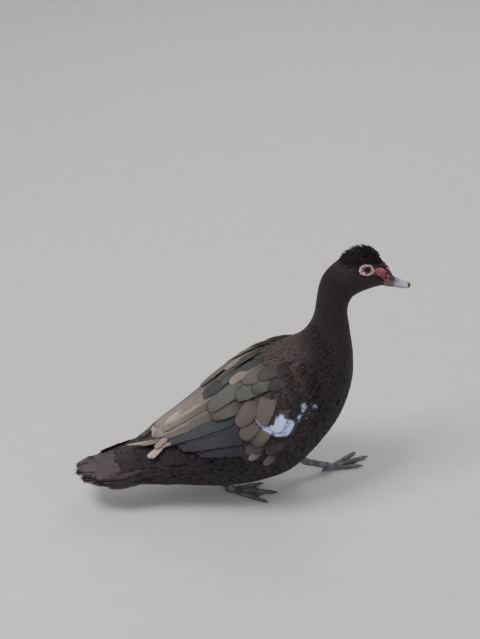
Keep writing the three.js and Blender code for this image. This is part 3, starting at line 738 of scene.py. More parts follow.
# Each: root station and angle, tip station and angle, half width, lift over the wing, base, edge, tip colours.
largeFeathers = [
    # The longest, half hidden under the rest.
    (3.4, 42, 1.15, 5, 8, -0.6, "slateDark", "slate", "slate"),
    (3.5, 45, 1.3, 8, 8, -0.3, "slateDark", "slate", "brownPale"),
    (3.7, 50, 1.5, 12, 9, 0.0, "slateDark", "slate", "brownPale"),
    (3.9, 56, 1.75, 18, 10, 0.2, "slateDark", "slate", "slate"),
    (4.1, 62, 2.05, 27, 11, 0.3, "slateDark", "slate", "slate"),
    # The row that makes the wing's lower half.
    (5.4, 87, 2.95, 60, 17, 0.3, "slate", "slateDark", "slate"),
    (4.95, 70, 2.45, 43, 19, 0.7, "slate", "slateDark", "slateWarm"),
    (4.6, 47, 2.15, 27, 18, 1.1, "blueGreen", "slate", "blueGreen"),
    (4.3, 34, 2.0, 16.5, 16, 1.5, "olive", "blueGreen", "brownPale"),
    (4.15, 24, 1.8, 9, 14, 1.9, "brownPale", "brown", "tan"),
    (4.1, 16, 1.7, 5, 14, 2.2, "tan", "brownPale", "tanPale"),
    (4.4, 9, 2.7, 4, 11, 2.5, "brownPale", "tan", "tan"),
    # The greater coverts, which hang over that row.
    (5.2, 76, 4.5, 85, 12, 1.6, "plum", "brown", "brown"),
    (5.9, 80, 5.1, 92, 12, 1.6, "plum", "brown", "plum"),
    (6.6, 72, 5.75, 88, 12, 1.6, "plum", "mantle", "plum"),
    (7.1, 70, 6.4, 82, 11, 1.4, "plum", "mantle", "plum"),
    (5.15, 56, 4.4, 69, 13, 2.2, "brown", "plum", "brown"),
    (5.4, 62, 4.75, 80, 13, 2.0, "brown", "plum", "plum"),
    (6.75, 62, 6.1, 78, 12, 2.2, "plum", "mantle", "plum"),
    (6.4, 55, 5.75, 82, 13, 2.5, "plum", "mantle", "plum"),
    (6.05, 46, 5.4, 75, 14, 2.8, "plum", "mantle", "plum"),
    (5.6, 39, 5.0, 66, 14, 3.0, "brown", "plum", "brown"),
    (5.15, 42, 4.35, 57, 14, 2.9, "brown", "olive", "brown"),
    # The median coverts and the large rounded feathers by the back.
    (4.6, 40, 3.6, 34, 14, 2.6, "olive", "slateDark", "greenDark"),
    (5.1, 22, 3.55, 25, 16, 3.1, "greyGreen", "greenDark", "greyGreen"),
    (5.5, 13, 4.35, 13, 10, 3.3, "brownPale", "tan", "tan"),
    (4.7, 7, 3.5, 4, 11, 3.0, "greenDark", "brown", "slate"),
    (5.1, 8, 4.1, 5, 10, 3.3, "greenDark", "brown", "olive"),
    (5.5, 9, 4.6, 6, 9, 3.5, "greenDark", "brown", "greenDark"),
    (5.6, 34, 4.42, 32, 14, 3.3, "greyGreen", "slateDark", "greyGreen"),
    (5.75, 24, 4.75, 23, 12, 3.6, "olive", "brown", "brownPale"),
    (5.95, 33, 4.95, 35, 13, 3.6, "greyGreen", "slateDark", "greenDark"),
    (6.2, 26, 5.2, 27, 12, 3.8, "greenDark", "slateDark", "olive"),
    (6.4, 36, 5.45, 40, 12, 3.8, "greenDark", "slateDark", "greenDark"),
    (6.7, 29, 5.75, 31, 11, 3.9, "mantle", "mantleEdge", "greenDark"),
    (6.75, 40, 5.85, 44, 11, 3.6, "mantle", "mantleEdge", "greenDark"),
    (6.8, 50, 6.05, 54, 11, 3.4, "mantle", "mantleEdge", "plum"),
    (7.3, 48, 6.55, 51, 10, 2.9, "mantle", "mantleEdge", "plum"),
]
# Worn feathers of the right wing: the same, then how frayed, how far the tip is lifted, and the bend.
wornFeathers = [
    (4.1, 22, 2.1, 13, 8, 2.9, "brownPale", "tan", "tan", 0.8, 1.0, -2),
    (2.9, 36, 1.0, 9, 4, 1.5, "tan", "tanPale", "tan", 1.0, 1.5, 2),
    (2.6, 30, 0.75, 4, 2.5, 1.5, "tan", "tanPale", "tanPale", 1.0, 3.0, 2),
    (2.2, 28, 1.4, 45, 6, 1.8, "tanPale", "cream", "cream", 0.8, 2.5, 3),
    (2.3, 24, 1.55, 50, 4.5, 2.6, "tan", "tanPale", "tanPale", 0.9, 3.0, 3),
    (2.75, 33, 1.2, 17, 4, 2.2, "brownPale", "tan", "tan", 1.0, 2.0, 1),
    (3.1, 40, 1.7, 33, 5, 1.6, "tan", "tanPale", "brownPale", 1.0, 1.5, 1),
    (2.5, 18, 1.75, 34, 6, 2.6, "tan", "tanPale", "tan", 0.6, 1.5, 3),
    (4.0, 12, 2.1, 5, 7, 3.2, "tan", "tanPale", "tanPale", 0.9, 1.0, 2),
    (5.0, 86, 4.55, 91, 6, 2.6, "brown", "pale", "pale", 0.3, 0.5, 0),
    (5.4, 94, 5.0, 102, 7, 2.4, "brown", "pale", "brownPale", 0.4, 0.5, 0),
]


def featherRows(entries, side):
    # A wing's feathers as arrays; entries without the last three values are sound ones.
    entries = [(*entry, 0.0, 0.0, 0.0)[:12] for entry in entries]
    table = np.array([entry[:6] for entry in entries], float)
    rows = {key: table[:, k] for k, key in enumerate(("s0", "a0", "s1", "a1", "half"))}
    rows["a0"] = rows["a0"] * side
    rows["a1"] = rows["a1"] * side
    rows["lift0"] = table[:, 5] - 2.6
    rows["lift1"] = table[:, 5] * 0.85 + 0.3
    for k, key in ((9, "frayed"), (10, "lifted"), (11, "bend")):
        rows[key] = np.array([entry[k] for entry in entries], float)
    rows["bend"] = rows["bend"] * side
    for k, key in ((6, "colour"), (7, "edgeColour"), (8, "tip")):
        rows[key] = np.concatenate([varied(entry[k], 1, 0.06) for entry in entries])
    rows["quillColour"] = rows["colour"] * 0.6
    return rows


largePattern = vanePattern(40, 16)
shell = {
    "from": 7.45, "to": 1.6, "high": 0.03, "low": 0.93, "sunk": 4.2, "under": 1.2, "rows": 60, "columns": 24,
}
coverts = {"low": 4.9, "high": 8.0, "scale": 0.95, "droop": 3}


def wingShell(side):
    # A closed slab: its top lies just under the feathers and its underside inside the skin.
    u = np.linspace(0, 1, shell["rows"])[:, None]
    around = np.linspace(0, 2 * np.pi, 2 * shell["columns"], endpoint=False)[None, :]
    s = shell["from"] + (shell["to"] - shell["from"]) * u + 0 * around
    q = shell["high"] + (shell["low"] - shell["high"]) * (0.5 - 0.5 * np.cos(around)) + 0 * u
    low, high = wingEdges(s)
    a = (high + q * (low - high)) * side
    top = smooth(-0.15, 0.15, np.sin(around))
    end = smooth(0, 0.04, u) * smooth(0, 0.04, 1 - u)
    lift = -shell["sunk"] + (wingLift(s, a) - shell["under"] + shell["sunk"]) * top * end
    return closedGrid(onBody(s, a, lift), flip=side < 0)


def wingEntries(side):
    # The left wing isn't seen: it has the same tiers, without the worn feathers and with its own small turns.
    if side < 0:
        return largeFeathers + wornFeathers
    turned = []
    for s0, a0, s1, a1, *rest in largeFeathers:
        s1 += chance.normal(0, 0.05)
        turned.append((s0, a0, s1, max(3, a1 + chance.normal(0, 0.8)), *rest))
    return turned


for name, side in sides.items():
    points, quads = wingShell(side)
    addPiece(f"wingShell_{name}", points, quads, skinFinish)
    # Small coverts fill the wing's front and lie under the edges of the large ones.
    rows = ringFeathers(
        coverts["low"], coverts["high"], lambda s, a: underWing(s, a, 0) & (a * side > 0),
        scale=coverts["scale"], droop=coverts["droop"],
    )
    forward = smooth(5.4, 6.6, rows["s0"])
    rows["lift0"] = -2.0 + 1.0 * forward
    rows["lift1"] = 0.6 + 2.4 * forward + 0.15 * chance.standard_normal(len(forward))
    rows = painted(rows, "mantle", "mantleEdge", spread=0.14)
    low = smooth(40, 62, np.abs(rows["a0"]))[:, None]
    rows["edgeColour"] = rows["edgeColour"] * (1 - 0.75 * low)
    rows["colour"] = rows["colour"] * (1 - 0.3 * low)
    addCoat(f"wingCoverts_{name}", rows, smallLook, "wing", bodyPattern)
    rows = featherRows(wingEntries(side), side)
    addCoat(
        f"wingFeathers_{name}", rows, wingLook, "wing", largePattern, spot=None,
        replaces=(f"wing_{name}",),
    )

# Tail: flat feathers in a fan, with coverts over and under their roots.

tail = {
    "root": -186, "rise": 66, "pairs": 7, "spread": 27, "fan": 8, "length": 96, "shorter": 27, "half": 13.5,
    "step": 0.8, "fall": 0.085, "dome": 0.0016,
}
tailLook = dict(wingLook, onWing=False, white=False, tilt=0.04, cup=0.0, edge=0.4, quill=0.4, rag=0.2)


def tailRows():
    share = (np.arange(tail["pairs"]) + 0.5) / tail["pairs"]
    share = np.concatenate([share, -share])
    order = np.concatenate([np.arange(tail["pairs"]), np.arange(tail["pairs"]) + 0.45])
    rows = {
        "turn": np.radians(tail["fan"] * share + chance.normal(0, 0.5, len(share))),
        "root": share * tail["spread"],
        "long": tail["length"] - tail["shorter"] * share**2 + chance.normal(0, 1.2, len(share)),
        "stack": tail["step"] * order,
        "half": np.full(len(share), tail["half"]),
        "frayed": chance.random(len(share)),
    }
    return painted(rows, "tail", "tailEdge", "tailEdge", "tailDark", 0.12)


addCoat("tailFeathers", tailRows(), tailLook, "tail", largePattern, tailFrame, None, ("tail",))
tailCovers = {"low": 0.9, "high": 2.5, "close": 0.8, "scale": 1.0, "end": 0.15}
tailSides = {"angles": 17, "reach": 172, "half": 12.5, "from": 1.5, "to": -0.85, "side": -0.3}
tailCoverLook = dict(covertLook, onWing=False, white=False, tilt=0.0, rag=0.25, edge=0.25, cup=0.6, thick=0.5)
count = tailSides["angles"]
turns = np.linspace(-tailSides["reach"], tailSides["reach"], count) + chance.normal(0, 1.5, count)
below = smooth(80, 120, np.abs(turns))
rows = {
    "s0": tailSides["from"] + 0.15 * chance.standard_normal(count), "a0": turns, "a1": turns * 0.98,
    "s1": tailSides["to"] + (tailSides["side"] - tailSides["to"]) * smooth(10, 75, np.abs(turns)) - 0.1 * below,
    "half": np.full(count, tailSides["half"]), "lift0": np.full(count, -2.4),
    "lift1": 0.5 - 0.5 * below + 0.3 * chance.standard_normal(count),
}
addCoat(
    "tailSides", painted(rows, "tail", "tailEdge", "tail", "tailDark", 0.08),
    dict(tailLook, tilt=0.02, cup=0.7, thick=0.6), "tail", largePattern, spot=None,
)
rows = ringFeathers(
    tailCovers["low"], tailCovers["high"], anywhere, tailCovers["close"], tailCovers["scale"]
)
rows = painted(rows, "tailDark", "tail", "tailDark", spread=0.1)
rows["lift0"] = -2.2 + 0 * rows["s0"]
rows["lift1"] = 0.6 + 0.1 * chance.standard_normal(len(rows["s0"]))
rows["s1"] = np.maximum(rows["s1"], tailCovers["end"] + 0.25 * chance.random(len(rows["s1"])))
addCoat("tailCoverts", rows, tailCoverLook, "tail", vanePattern(10, 6))

# Head: crest, bare skin, lids, knobs and eyes.

crest = {"count": 620, "front": 17.15, "rear": 14.3, "spread": 46, "long": 13, "middle": 8, "half": 1.5}
crestLook = dict(
    ringLook, round=0.0, sweep=0.0, root=0.8, full=0.3, narrow=0.985, rag=0.2, split=0.1, cup=0.0, thick=0.7,
    wave=0.2, edge=0.2, tipAmount=0.4,
)


def crestRows():
    count = crest["count"]
    back = chance.random(count)
    share = chance.uniform(-1, 1, count)
    swell = np.sin(np.pi * np.clip(back * 0.9 + 0.12, 0, 1))
    long = (crest["long"] * (0.3 + 0.7 * swell) + crest["middle"] * swell) * (1 - 0.45 * np.abs(share))
    rows = {
        "s0": crest["front"] + (crest["rear"] - crest["front"]) * back,
        "a0": share * crest["spread"],
        "long": long * chance.uniform(0.72, 1.02, count),
        "half": crest["half"] * chance.uniform(0.7, 1.3, count),
        "lean": 0.15 + 0.35 * back + chance.normal(0, 0.1, count),
        "bend": chance.normal(0, 0.12, count),
    }
    return painted(rows, "crest", "crestPale", "crestPale", spread=0.3)


addCoat("crest", crestRows(), crestLook, "head", smallPattern, crestFrame, replaces=("head",))

face = {
    "from": 14.5, "to": 17.98, "low": 38, "high": 118, "rows": 150, "columns": 110, "lift": 0.55, "sunk": 2.2,
    "under": 3.0, "ring": (0.66, 18), "lore": (17.2, 80, 1.5, 20),
}


def faceMask(s, a):
    # 1 on the bare skin: an oval round the eye, and a patch from it to the bill.
    oval = 1 - np.hypot((s - eye["s"]) / face["ring"][0], (a - eye["angle"]) / face["ring"][1])
    ls, la, wide, high = face["lore"]
    patch = 1 - np.hypot((s - ls) / wide, (a - la) / high)
    strip = np.minimum(np.minimum(s - 16.0, 2.5), 1 - np.abs(a - 82) / (9 + 15 * np.clip(s - 16.2, 0, 2)))
    return np.maximum(np.maximum(oval, strip), patch - 0.4)


def faceSkin(side):
    # A slab under the feathers' edges that rises through them where the skin is bare.
    s, a = np.meshgrid(
        np.linspace(face["from"], face["to"], face["rows"]),
        np.linspace(face["low"], face["high"], face["columns"]), indexing="ij",
    )
    mask = faceMask(s, a) + 0.07 * np.sin(a * 0.55 + 3 * np.sin(s * 6)) * np.sin(s * 21 + a * 0.2)
    bumps = np.sin(s * 31 + 2 * np.sin(a * 0.4)) * np.sin(a * 0.95 + 1.5 * np.sin(s * 9))
    fine = np.sin(s * 83 + a) * np.sin(a * 2.7 - s * 20)
    warty = smooth(16.2, 17.4, s)
    rise = smooth(-0.06, 0.12, mask)
    edge = np.exp(-(((mask - 0.16) / 0.1) ** 2))
    relief = edge * 0.6 + bumps * (0.12 + 0.55 * warty) + fine * (0.08 + 0.15 * warty)
    lift = rise * (face["sunk"] + face["lift"] + relief) - face["sunk"]
    top = onBody(s, a * side, lift)
    base = onBody(s, a * side, -face["under"] + 0 * s)
    quads = sheetFaces(*s.shape)
    away = np.hypot((s - eye["s"]) / face["ring"][0], (a - eye["angle"]) / face["ring"][1])
    wander = 0.12 * np.sin(s * 11 + a * 0.3) + 0.08 * np.sin(a * 0.7 - s * 5)
    cloudy = np.sin(a * 0.31 + 2 * np.sin(s * 7)) * np.sin(s * 13 - a * 0.1)
    colour = layered(linear((186, 156, 162)), [
        ((128, 92, 98), 0.7 * smooth(0.1, 0.8, cloudy)),
        ((70, 42, 44), 1 - smooth(0.42, 0.8, away + wander)),
        ((148, 74, 84), smooth(15.98, 16.3, s + wander)),
        ((62, 26, 34), 0.9 * np.exp(-(((s - 16.2 + 0.5 * wander) / 0.12) ** 2))),
        ((112, 56, 74), 0.75 * smooth(16.3, 16.9, s) * smooth(78, 92, a + 20 * wander)),
        ((214, 142, 140), 0.8 * np.exp(-(((s - 16.95) / 0.4) ** 2) - ((a - 60) / 9) ** 2)),
        ((182, 130, 138), 0.7 * smooth(16.6, 17.2, s) * smooth(96, 104, a)),
        ((74, 32, 44), 0.55 * smooth(16.3, 16.6, s) * smooth(0.2, 0.8, bumps)),
        ((40, 30, 36), 0.9 * smooth(17.3, 17.7, s - wander)),
        ((36, 26, 28), 0.6 * (1 - smooth(-0.05, 0.1, mask))),
    ])
    colour = np.concatenate([colour.reshape(-1, 3)] * 2)
    points = np.concatenate([top.reshape(-1, 3), base.reshape(-1, 3)])
    return points, quads if side > 0 else quads[:, ::-1], colour


def fleshMaterial():
    made = Material("bareSkin")
    shade = made.attribute("shade", "Color")
    pores = made.place.cells(1400.0)
    cloud = made.place.noise(260.0)
    made.set({
        "Base Color": shade.times(0.72 + cloud * 0.4 + pores * 0.12),
        "Roughness": 0.42 + cloud * 0.25,
        "Subsurface Weight": 0.08,
        "Subsurface Radius": (0.004, 0.0015, 0.001),
    })
    made.bump(pores * 0.6 + cloud, 0.0003)
    return made


def shaded(colour):
    return {"shade": np.concatenate([colour, np.ones((len(colour), 1))], 1)}


def ballGrid(rows, around, centre, axes):
    # A ball of rows along its first axis: centre + axes . (cos t, sin t cos p, sin t sin p).
    t = np.linspace(0.02, np.pi - 0.02, rows)[:, None]
    p = np.linspace(0, 2 * np.pi, around, endpoint=False)[None, :]
    local = np.stack([np.cos(t) + 0 * p, np.sin(t) * np.cos(p), np.sin(t) * np.sin(p)], -1)
    return centre + local @ axes


flesh = fleshMaterial()
lid = {"long": 0.25, "high": 8.6, "lift": 0.0, "thick": 1.0, "around": 64, "section": 12}
knob = {"count": 26, "from": 17.05, "to": 17.9, "low": 22, "high": 125, "small": 0.9, "large": 2.6}


def lidRing(side):
    # A ring round the eye with a round section.
    turn = np.linspace(0, 2 * np.pi, lid["around"], endpoint=False)[:, None]
    p = np.linspace(0, 2 * np.pi, lid["section"], endpoint=False)[None, :]
    grow = 1 + 0.2 * np.cos(p) * side
    s = eye["s"] + lid["long"] * np.cos(turn) * grow
    a = (eye["angle"] - lid["high"] * np.sin(turn) * grow) * side
    lift = lid["lift"] + lid["thick"] * np.sin(p) * (1 + 0.15 * np.sin(9 * turn))
    grid = onBody(s, a, lift)
    index = np.arange(lid["around"] * lid["section"]).reshape(lid["around"], lid["section"])
    quads = facesOf(np.pad(index, ((0, 1), (0, 1)), mode="wrap"))
    return grid.reshape(-1, 3), quads


for name, side in sides.items():
    points, quads, colour = faceSkin(side)
    addPiece(f"faceSkin_{name}", points, quads, flesh, shaded(colour))
    points, quads = lidRing(side)
    colour = np.tile(linear((58, 32, 34)), (len(points), 1))
    addPiece(f"lid_{name}", points, quads, flesh, shaded(colour))

knobParts = []
knobColours = []
for i in range(knob["count"]):
    side = -1 if i % 2 else 1
    s = chance.uniform(knob["from"], knob["to"])
    a = chance.uniform(knob["low"], knob["high"]) * side
    size = chance.uniform(knob["small"], knob["large"]) * (0.6 + 0.5 * smooth(knob["from"], knob["to"], s))
    middle = onBody(np.array(s), np.array(a), np.array(-0.1 * size))
    axes = np.diag(size * np.array([1, 1.1, 1.15]))
    knobParts.append(closedGrid(ballGrid(12, 16, middle, axes), flip=True))
    tint = linear((150, 84, 88)) * chance.uniform(0.3, 1.0)
    knobColours.append(np.tile(tint, (len(knobParts[-1][0]), 1)))
brow = {"centre": (181.5, 0, 359.5), "radii": (5.4, 6.2, 4.4)}
knobParts.append(closedGrid(ballGrid(24, 32, np.array(brow["centre"]), np.diag(brow["radii"])), flip=True))
knobColours.append(np.tile(linear((70, 38, 42)), (len(knobParts[-1][0]), 1)))
points, quads = joined(knobParts)
addPiece("knobs", points, quads, flesh, shaded(np.concatenate(knobColours)))
stage("bare skin and knobs")


def eyeMaterial():
    made = Material("eyeball")
    shade = made.attribute("shade", "Color")
    fleck = made.place.noise(1800.0)
    made.set({
        "Base Color": shade.times(0.6 + fleck * 0.8),
        "Roughness": 0.08,
        "Specular IOR Level": 0.2,
        "Coat Weight": 0.05,
        "Coat Roughness": 0.05,
    })
    return made


eyeFinish = eyeMaterial()
# Degrees from the middle of the eye over which each colour gives way to the next one out.
eyeBands = {"pupil": (23, 27), "brown": (24, 44), "iris": (48, 52)}
for name, side in sides.items():
    centre = onBody(np.array(eye["s"]), np.array(side * eye["angle"]), np.array(-eye["sunk"]))
    outward = bodyNormal(np.array(eye["s"]), np.array(side * eye["angle"]))
    upward = unit(np.cross(outward, np.array([1.0, 0, 0])))
    axes = np.stack([outward, upward, np.cross(outward, upward)]) * eye["radius"]
    points, quads = closedGrid(ballGrid(48, 64, centre, axes), flip=True)
    away = np.degrees(np.arccos(np.clip(unit(points - centre) @ outward, -1, 1)))
    brown = linear((44, 22, 16)) * (0.4 + 0.6 * smooth(*eyeBands["brown"], away))[:, None]
    colour = blend(brown, linear((40, 30, 28)), smooth(*eyeBands["iris"], away))
    colour = blend(linear((8, 7, 7)), colour, smooth(*eyeBands["pupil"], away))
    addPiece(f"eyeball_{name}", points, quads, eyeFinish, shaded(colour), replaces=(f"eye_{name}",))

# Bill: sections along its axis as (distance, half width, height above the gape, depth below it).

bill = {
    "start": (183, 338.3), "pitch": -17.5, "around": 64, "rows": 120,
    "sections": [
        (-7, 11, 18.5, 7.8), (1, 10.8, 17, 8), (9.5, 10.2, 9.2, 7.4), (20, 9.8, 5.8, 6.2), (29, 10, 4.2, 5),
        (35.5, 8, 3.4, 4), (38.4, 3, 2.2, 2.8),
    ],
}
nail = {"out": 35.6, "high": 0.8, "long": 3.2, "wide": 4.2}
nostril = {"out": 7.5, "high": 9.8, "wide": 4.2, "tall": 2.6, "deep": 1.5}


def billPoint(out, across, high):
    a = math.radians(bill["pitch"])
    x = bill["start"][0] + out * math.cos(a) - high * math.sin(a)
    z = bill["start"][1] + out * math.sin(a) + high * math.cos(a)
    return np.stack([x, across, z], -1)


def mandible(upper):
    # Half round above the gape or below it, with a flat inner face.
    t = np.linspace(0, 1, bill["rows"])[:, None]
    p = np.linspace(0, 2 * np.pi, bill["around"], endpoint=False)[None, :]
    section = between(bill["sections"], t[:, 0] * 6)[:, None, :]
    out, half, above, below = np.moveaxis(section, -1, 0)
    turn = np.sin(p)
    if upper:
        high = np.where(turn > 0, np.abs(turn) ** 0.85 * above, 0) + 0.15
        bulge = 1 + 0.05 * smooth(0, 0.3, turn)
    else:
        high = np.where(turn < 0, -(np.abs(turn) ** 0.9) * below * 0.92, 0) - 0.15
        bulge = 0.9
        out = out - 1.6 * t
    across = np.cos(p) * half * bulge
    out = out + 0 * across
    if upper:
        far, up = (out - nostril["out"]) / nostril["wide"], (high - nostril["high"]) / nostril["tall"]
        pit = np.exp(-(far**4) - up**4)
        across = across - np.sign(across) * nostril["deep"] * pit
        tip = np.exp(-(((out - nail["out"]) / nail["long"]) ** 4) - (across / nail["wide"]) ** 4)
        high = np.where(turn > 0, high + nail["high"] * tip, high)
    else:
        pit = 0 * across
    points = billPoint(out, across, high)
    grid, quads = closedGrid(points, flip=False)
    coords = np.stack([out, across, high, pit], -1)
    flat = np.concatenate([coords.reshape(-1, 4), coords[:1].mean(1), coords[-1:].mean(1)])
    return grid, quads, flat


def billColour(flat, upper):
    out, across, high, pit = flat.T
    bone, dusk, pink, black = (166, 162, 180), (92, 78, 90), (178, 146, 156), (20, 17, 19)
    wander = 1.2 * np.sin(across * 0.9) + 0.8 * np.sin(high * 1.7 + out * 0.6)
    middle = smooth(10, 15, out + wander) * (1 - smooth(20, 26, out + wander))
    saddle = np.exp(-(((out - 15) / 5) ** 2)) * smooth(3.0, 6.0, high)
    blotch = smooth(0.35, 0.8, np.sin(out * 0.9 + 2 * np.sin(across * 0.5)) * np.sin(high * 1.3 + 1))
    streaks = np.exp(-(((high - 1.4) / 1.1) ** 2)) * (0.5 + 0.5 * np.sin(out * 0.8))
    rear = 1 - smooth(7.0, 13.5, out + wander)
    crown = smooth(4.5, 8.5, high) * (1 - smooth(9.5, 13.0, out + 0.5 * wander))
    tip = smooth(31.0, 33.5, out + 0.3 * wander)
    colour = layered(linear(bone), [
        (pink, 0.5 * middle), (dusk, 0.55 * saddle), (dusk, 0.4 * blotch), (pink, 0.6 * streaks), (dusk, rear),
        (black, 0.9 * crown),
    ])
    colour = blend(colour, linear(black), tip) if upper else colour * 0.8 * (1 - 0.5 * tip)[:, None]
    # Painted shade: the nostril pits are blackened, standing in for the shade inside the openings.
    return blend(colour, linear(black), pit)


def billMaterial():
    made = Material("bill")
    shade = made.attribute("shade", "Color")
    cloud = made.place.noise(320.0, 4.0)
    grain = made.place.stretched((1, 3, 3)).noise(1500.0)
    made.set({
        "Base Color": shade.times(0.66 + cloud * 0.45 + grain * 0.2),
        "Roughness": cloud * 0.3 + 0.26,
        "Coat Weight": 0.15,
        "Coat Roughness": 0.35,
    })
    made.bump(cloud + grain * 0.6, 0.00025)
    return made


billFinish = billMaterial()
for name, upper in (("bill_upper", True), ("bill_lower", False)):
    points, quads, flat = mandible(upper)
    label = "billUpper" if upper else "billLower"
    addPiece(label, points, quads, billFinish, shaded(billColour(flat, upper)), replaces=(name,))
stage("bill")

# Legs and feet. Each foot has its own frame: the origin under the ankle and X along the middle toe.

toes = {
    "inner": {"angle": 27, "long": 47, "thick": 3.3},
    "middle": {"angle": 0, "long": 65, "thick": 3.7},
    "outer": {"angle": -25, "long": 58, "thick": 3.4},
    "hind": {"angle": 158, "long": 12, "thick": 2.4},
}
# The toe's radius along it as (share of its length, share of its thickness), and the ball of the foot.
toeSwell = ((0, 1.1), (0.17, 0.98), (0.33, 1.08), (0.5, 0.94), (0.66, 1.04), (0.83, 0.9), (1, 0.82))
knuckle = {"high": 6.4, "radii": (7.6, 6.6, 6.4)}
# Claws, with rows of (share of the length, least height, radius).
clawSize = {
    "long": 7.5, "drop": 1.5, "hind": 0.7,
    "rows": ((-0.25, 1.7, 1.7), (0.1, 1.7, 1.8), (0.5, 1.3, 1.35), (0.8, 0.9, 0.8), (1, 0.5, 0.3)),
}
web = {"high": 2.0, "thick": 1.5, "reach": 0.9, "scallop": 0.16}
legs = {
    "left": {
        "side": 1, "x": 112, "y": 21, "heading": 20, "spread": 0.7,
        "shank": [(-2, 0, 9, 5.6), (-20, -0.5, 15, 5), (-38, -1, 22, 5.8), (-49, -1, 33, 6.2)],
        "thigh": [(69, 20, 28, 7.8), (58, 24, 43, 14), (46, 30, 62, 19), (34, 34, 84, 22)],
    },
    "right": {
        "side": -1, "x": -47, "y": -11, "heading": 14, "spread": 0.95,
        "shank": [(-1, 0, 9, 5.6), (2, 0, 17, 5.2), (6, 0, 28, 5.8)],
        "thigh": [(-40, -13, 25, 8.6), (-35, -19, 36, 15), (-27, -26, 52, 20), (-14, -32, 74, 23)],
    },
}


def limbGrid(rows, steps, around, ridge=0.0, pitch=30.0):
    # Round sections carried along a smooth path; ridge makes low scutes across its upper side.
    t = np.linspace(0, len(rows) - 1, steps)
    path = between(rows, t)
    ahead = unit(np.gradient(path[:, :3], axis=0))
    across = unit(np.cross(np.array([0.0, 1.0, 0.0]), ahead))
    other = np.cross(ahead, across)
    p = np.linspace(0, 2 * np.pi, around, endpoint=False)[None, :]
    arc = np.concatenate([[0], np.cumsum(np.linalg.norm(np.diff(path[:, :3], axis=0), axis=1))])[:, None]
    scute = np.abs(np.sin(arc * pitch)) ** 0.5 * smooth(-0.2, 0.6, np.cos(p))
    radius = path[:, 3:4] * (1 + ridge * (scute - 0.6))
    rim = across[:, None] * np.cos(p)[..., None] + other[:, None] * np.sin(p)[..., None]
    return path[:, None, :3] + rim * radius[..., None]


def roundedEnds(grid):
    # Ends drawn in so that a limb closes as a dome.
    share = 0.35
    middles = grid.mean(1, keepdims=True)
    first = middles[:1] + (middles[:1] - middles[1:2]) * 0.6
    last = middles[-1:] + (middles[-1:] - middles[-2:-1]) * 0.6
    first = first + (grid[:1] - middles[:1]) * share
    last = last + (grid[-1:] - middles[-1:]) * share
    return np.concatenate([first, grid, last])


def toePlace(toe, leg, out, high):
    spread = leg["spread"] if abs(toe["angle"]) < 90 else 1
    turn = math.radians(-toe["angle"] * spread * leg["side"])
    return out * math.cos(turn), out * math.sin(turn), high


def placed(points, leg):
    turn = math.radians(leg["heading"] * leg["side"])
    c, s = math.cos(turn), math.sin(turn)
    x, y, z = np.moveaxis(points, -1, 0)
    return np.stack([leg["x"] + x * c - y * s, leg["y"] + x * s + y * c, np.maximum(z, 0)], -1)


def toeLevel(toe):
    # Whether a toe is the hind one, and the height of its middle above the ground.
    hind = abs(toe["angle"]) > 90
    return hind, 7 if hind else toe["thick"] * 0.72


def toeGrid(toe, leg):
    hind, level = toeLevel(toe)
    rows = []
    for u, swell in toeSwell:
        high = (8 if hind else level + 1.2) * (1 - u) + level * u
        rows.append((*toePlace(toe, leg, toe["long"] * u, high), toe["thick"] * swell))
    return roundedEnds(limbGrid(rows, 70, 20, 0.09, 1.15))


def webGrid(leg):
    # A sheet between the toes that hangs a little below their backs; its free edge is scalloped.
    u = np.linspace(0, 1, 40)[:, None]
    v = np.linspace(-1, 1, 49)[None, :]
    left = np.where(v < 0, toes["outer"]["angle"], 0)
    leftLong = np.where(v < 0, toes["outer"]["long"], toes["middle"]["long"])
    right = np.where(v < 0, 0, toes["inner"]["angle"])
    rightLong = np.where(v < 0, toes["middle"]["long"], toes["inner"]["long"])
    f = np.where(v < 0, v + 1, v)
    sag = 1 - web["scallop"] * np.sin(np.pi * f)
    long = (leftLong * (1 - f) + rightLong * f) * web["reach"] * sag
    turn = np.radians(-(left * (1 - f) + right * f) * leg["spread"] * leg["side"])
    out = 3 + (long - 3) * u
    fold = 0.35 * np.sin(np.pi * f * 5) * u * np.sin(np.pi * f)
    return np.stack([out * np.cos(turn), out * np.sin(turn), web["high"] + fold], -1)


def slab(grid, thick, flip):
    # A sheet made solid: a lower face under the upper one and walls round the edge.
    lower = grid - np.array([0, 0, 1.0]) * thick
    quads = sheetFaces(*grid.shape[:2])
    return np.concatenate([grid.reshape(-1, 3), lower.reshape(-1, 3)]), quads[:, ::-1] if flip else quads


def legMaterial():
    made = Material("legSkin")
    scales = made.place.cells(420.0)
    fine = made.place.cells(900.0)
    cloud = made.place.noise(90.0)
    base = cloud.band(0.35, 0.7).mixed((76, 74, 77), (112, 109, 112))
    made.set({
        "Base Color": base.times(0.75 + scales * 0.5),
        "Roughness": 0.5 + cloud * 0.3,
    })
    made.bump(scales + fine * 0.4, 0.0006)
    return made


def clawMaterial():
    made = Material("claw")
    grain = made.place.noise(700.0)
    made.set({
        "Base Color": grain.mixed((26, 23, 22), (74, 66, 58)),
        "Roughness": 0.25 + grain * 0.3,
    })
    made.bump(grain, 0.0002)
    return made


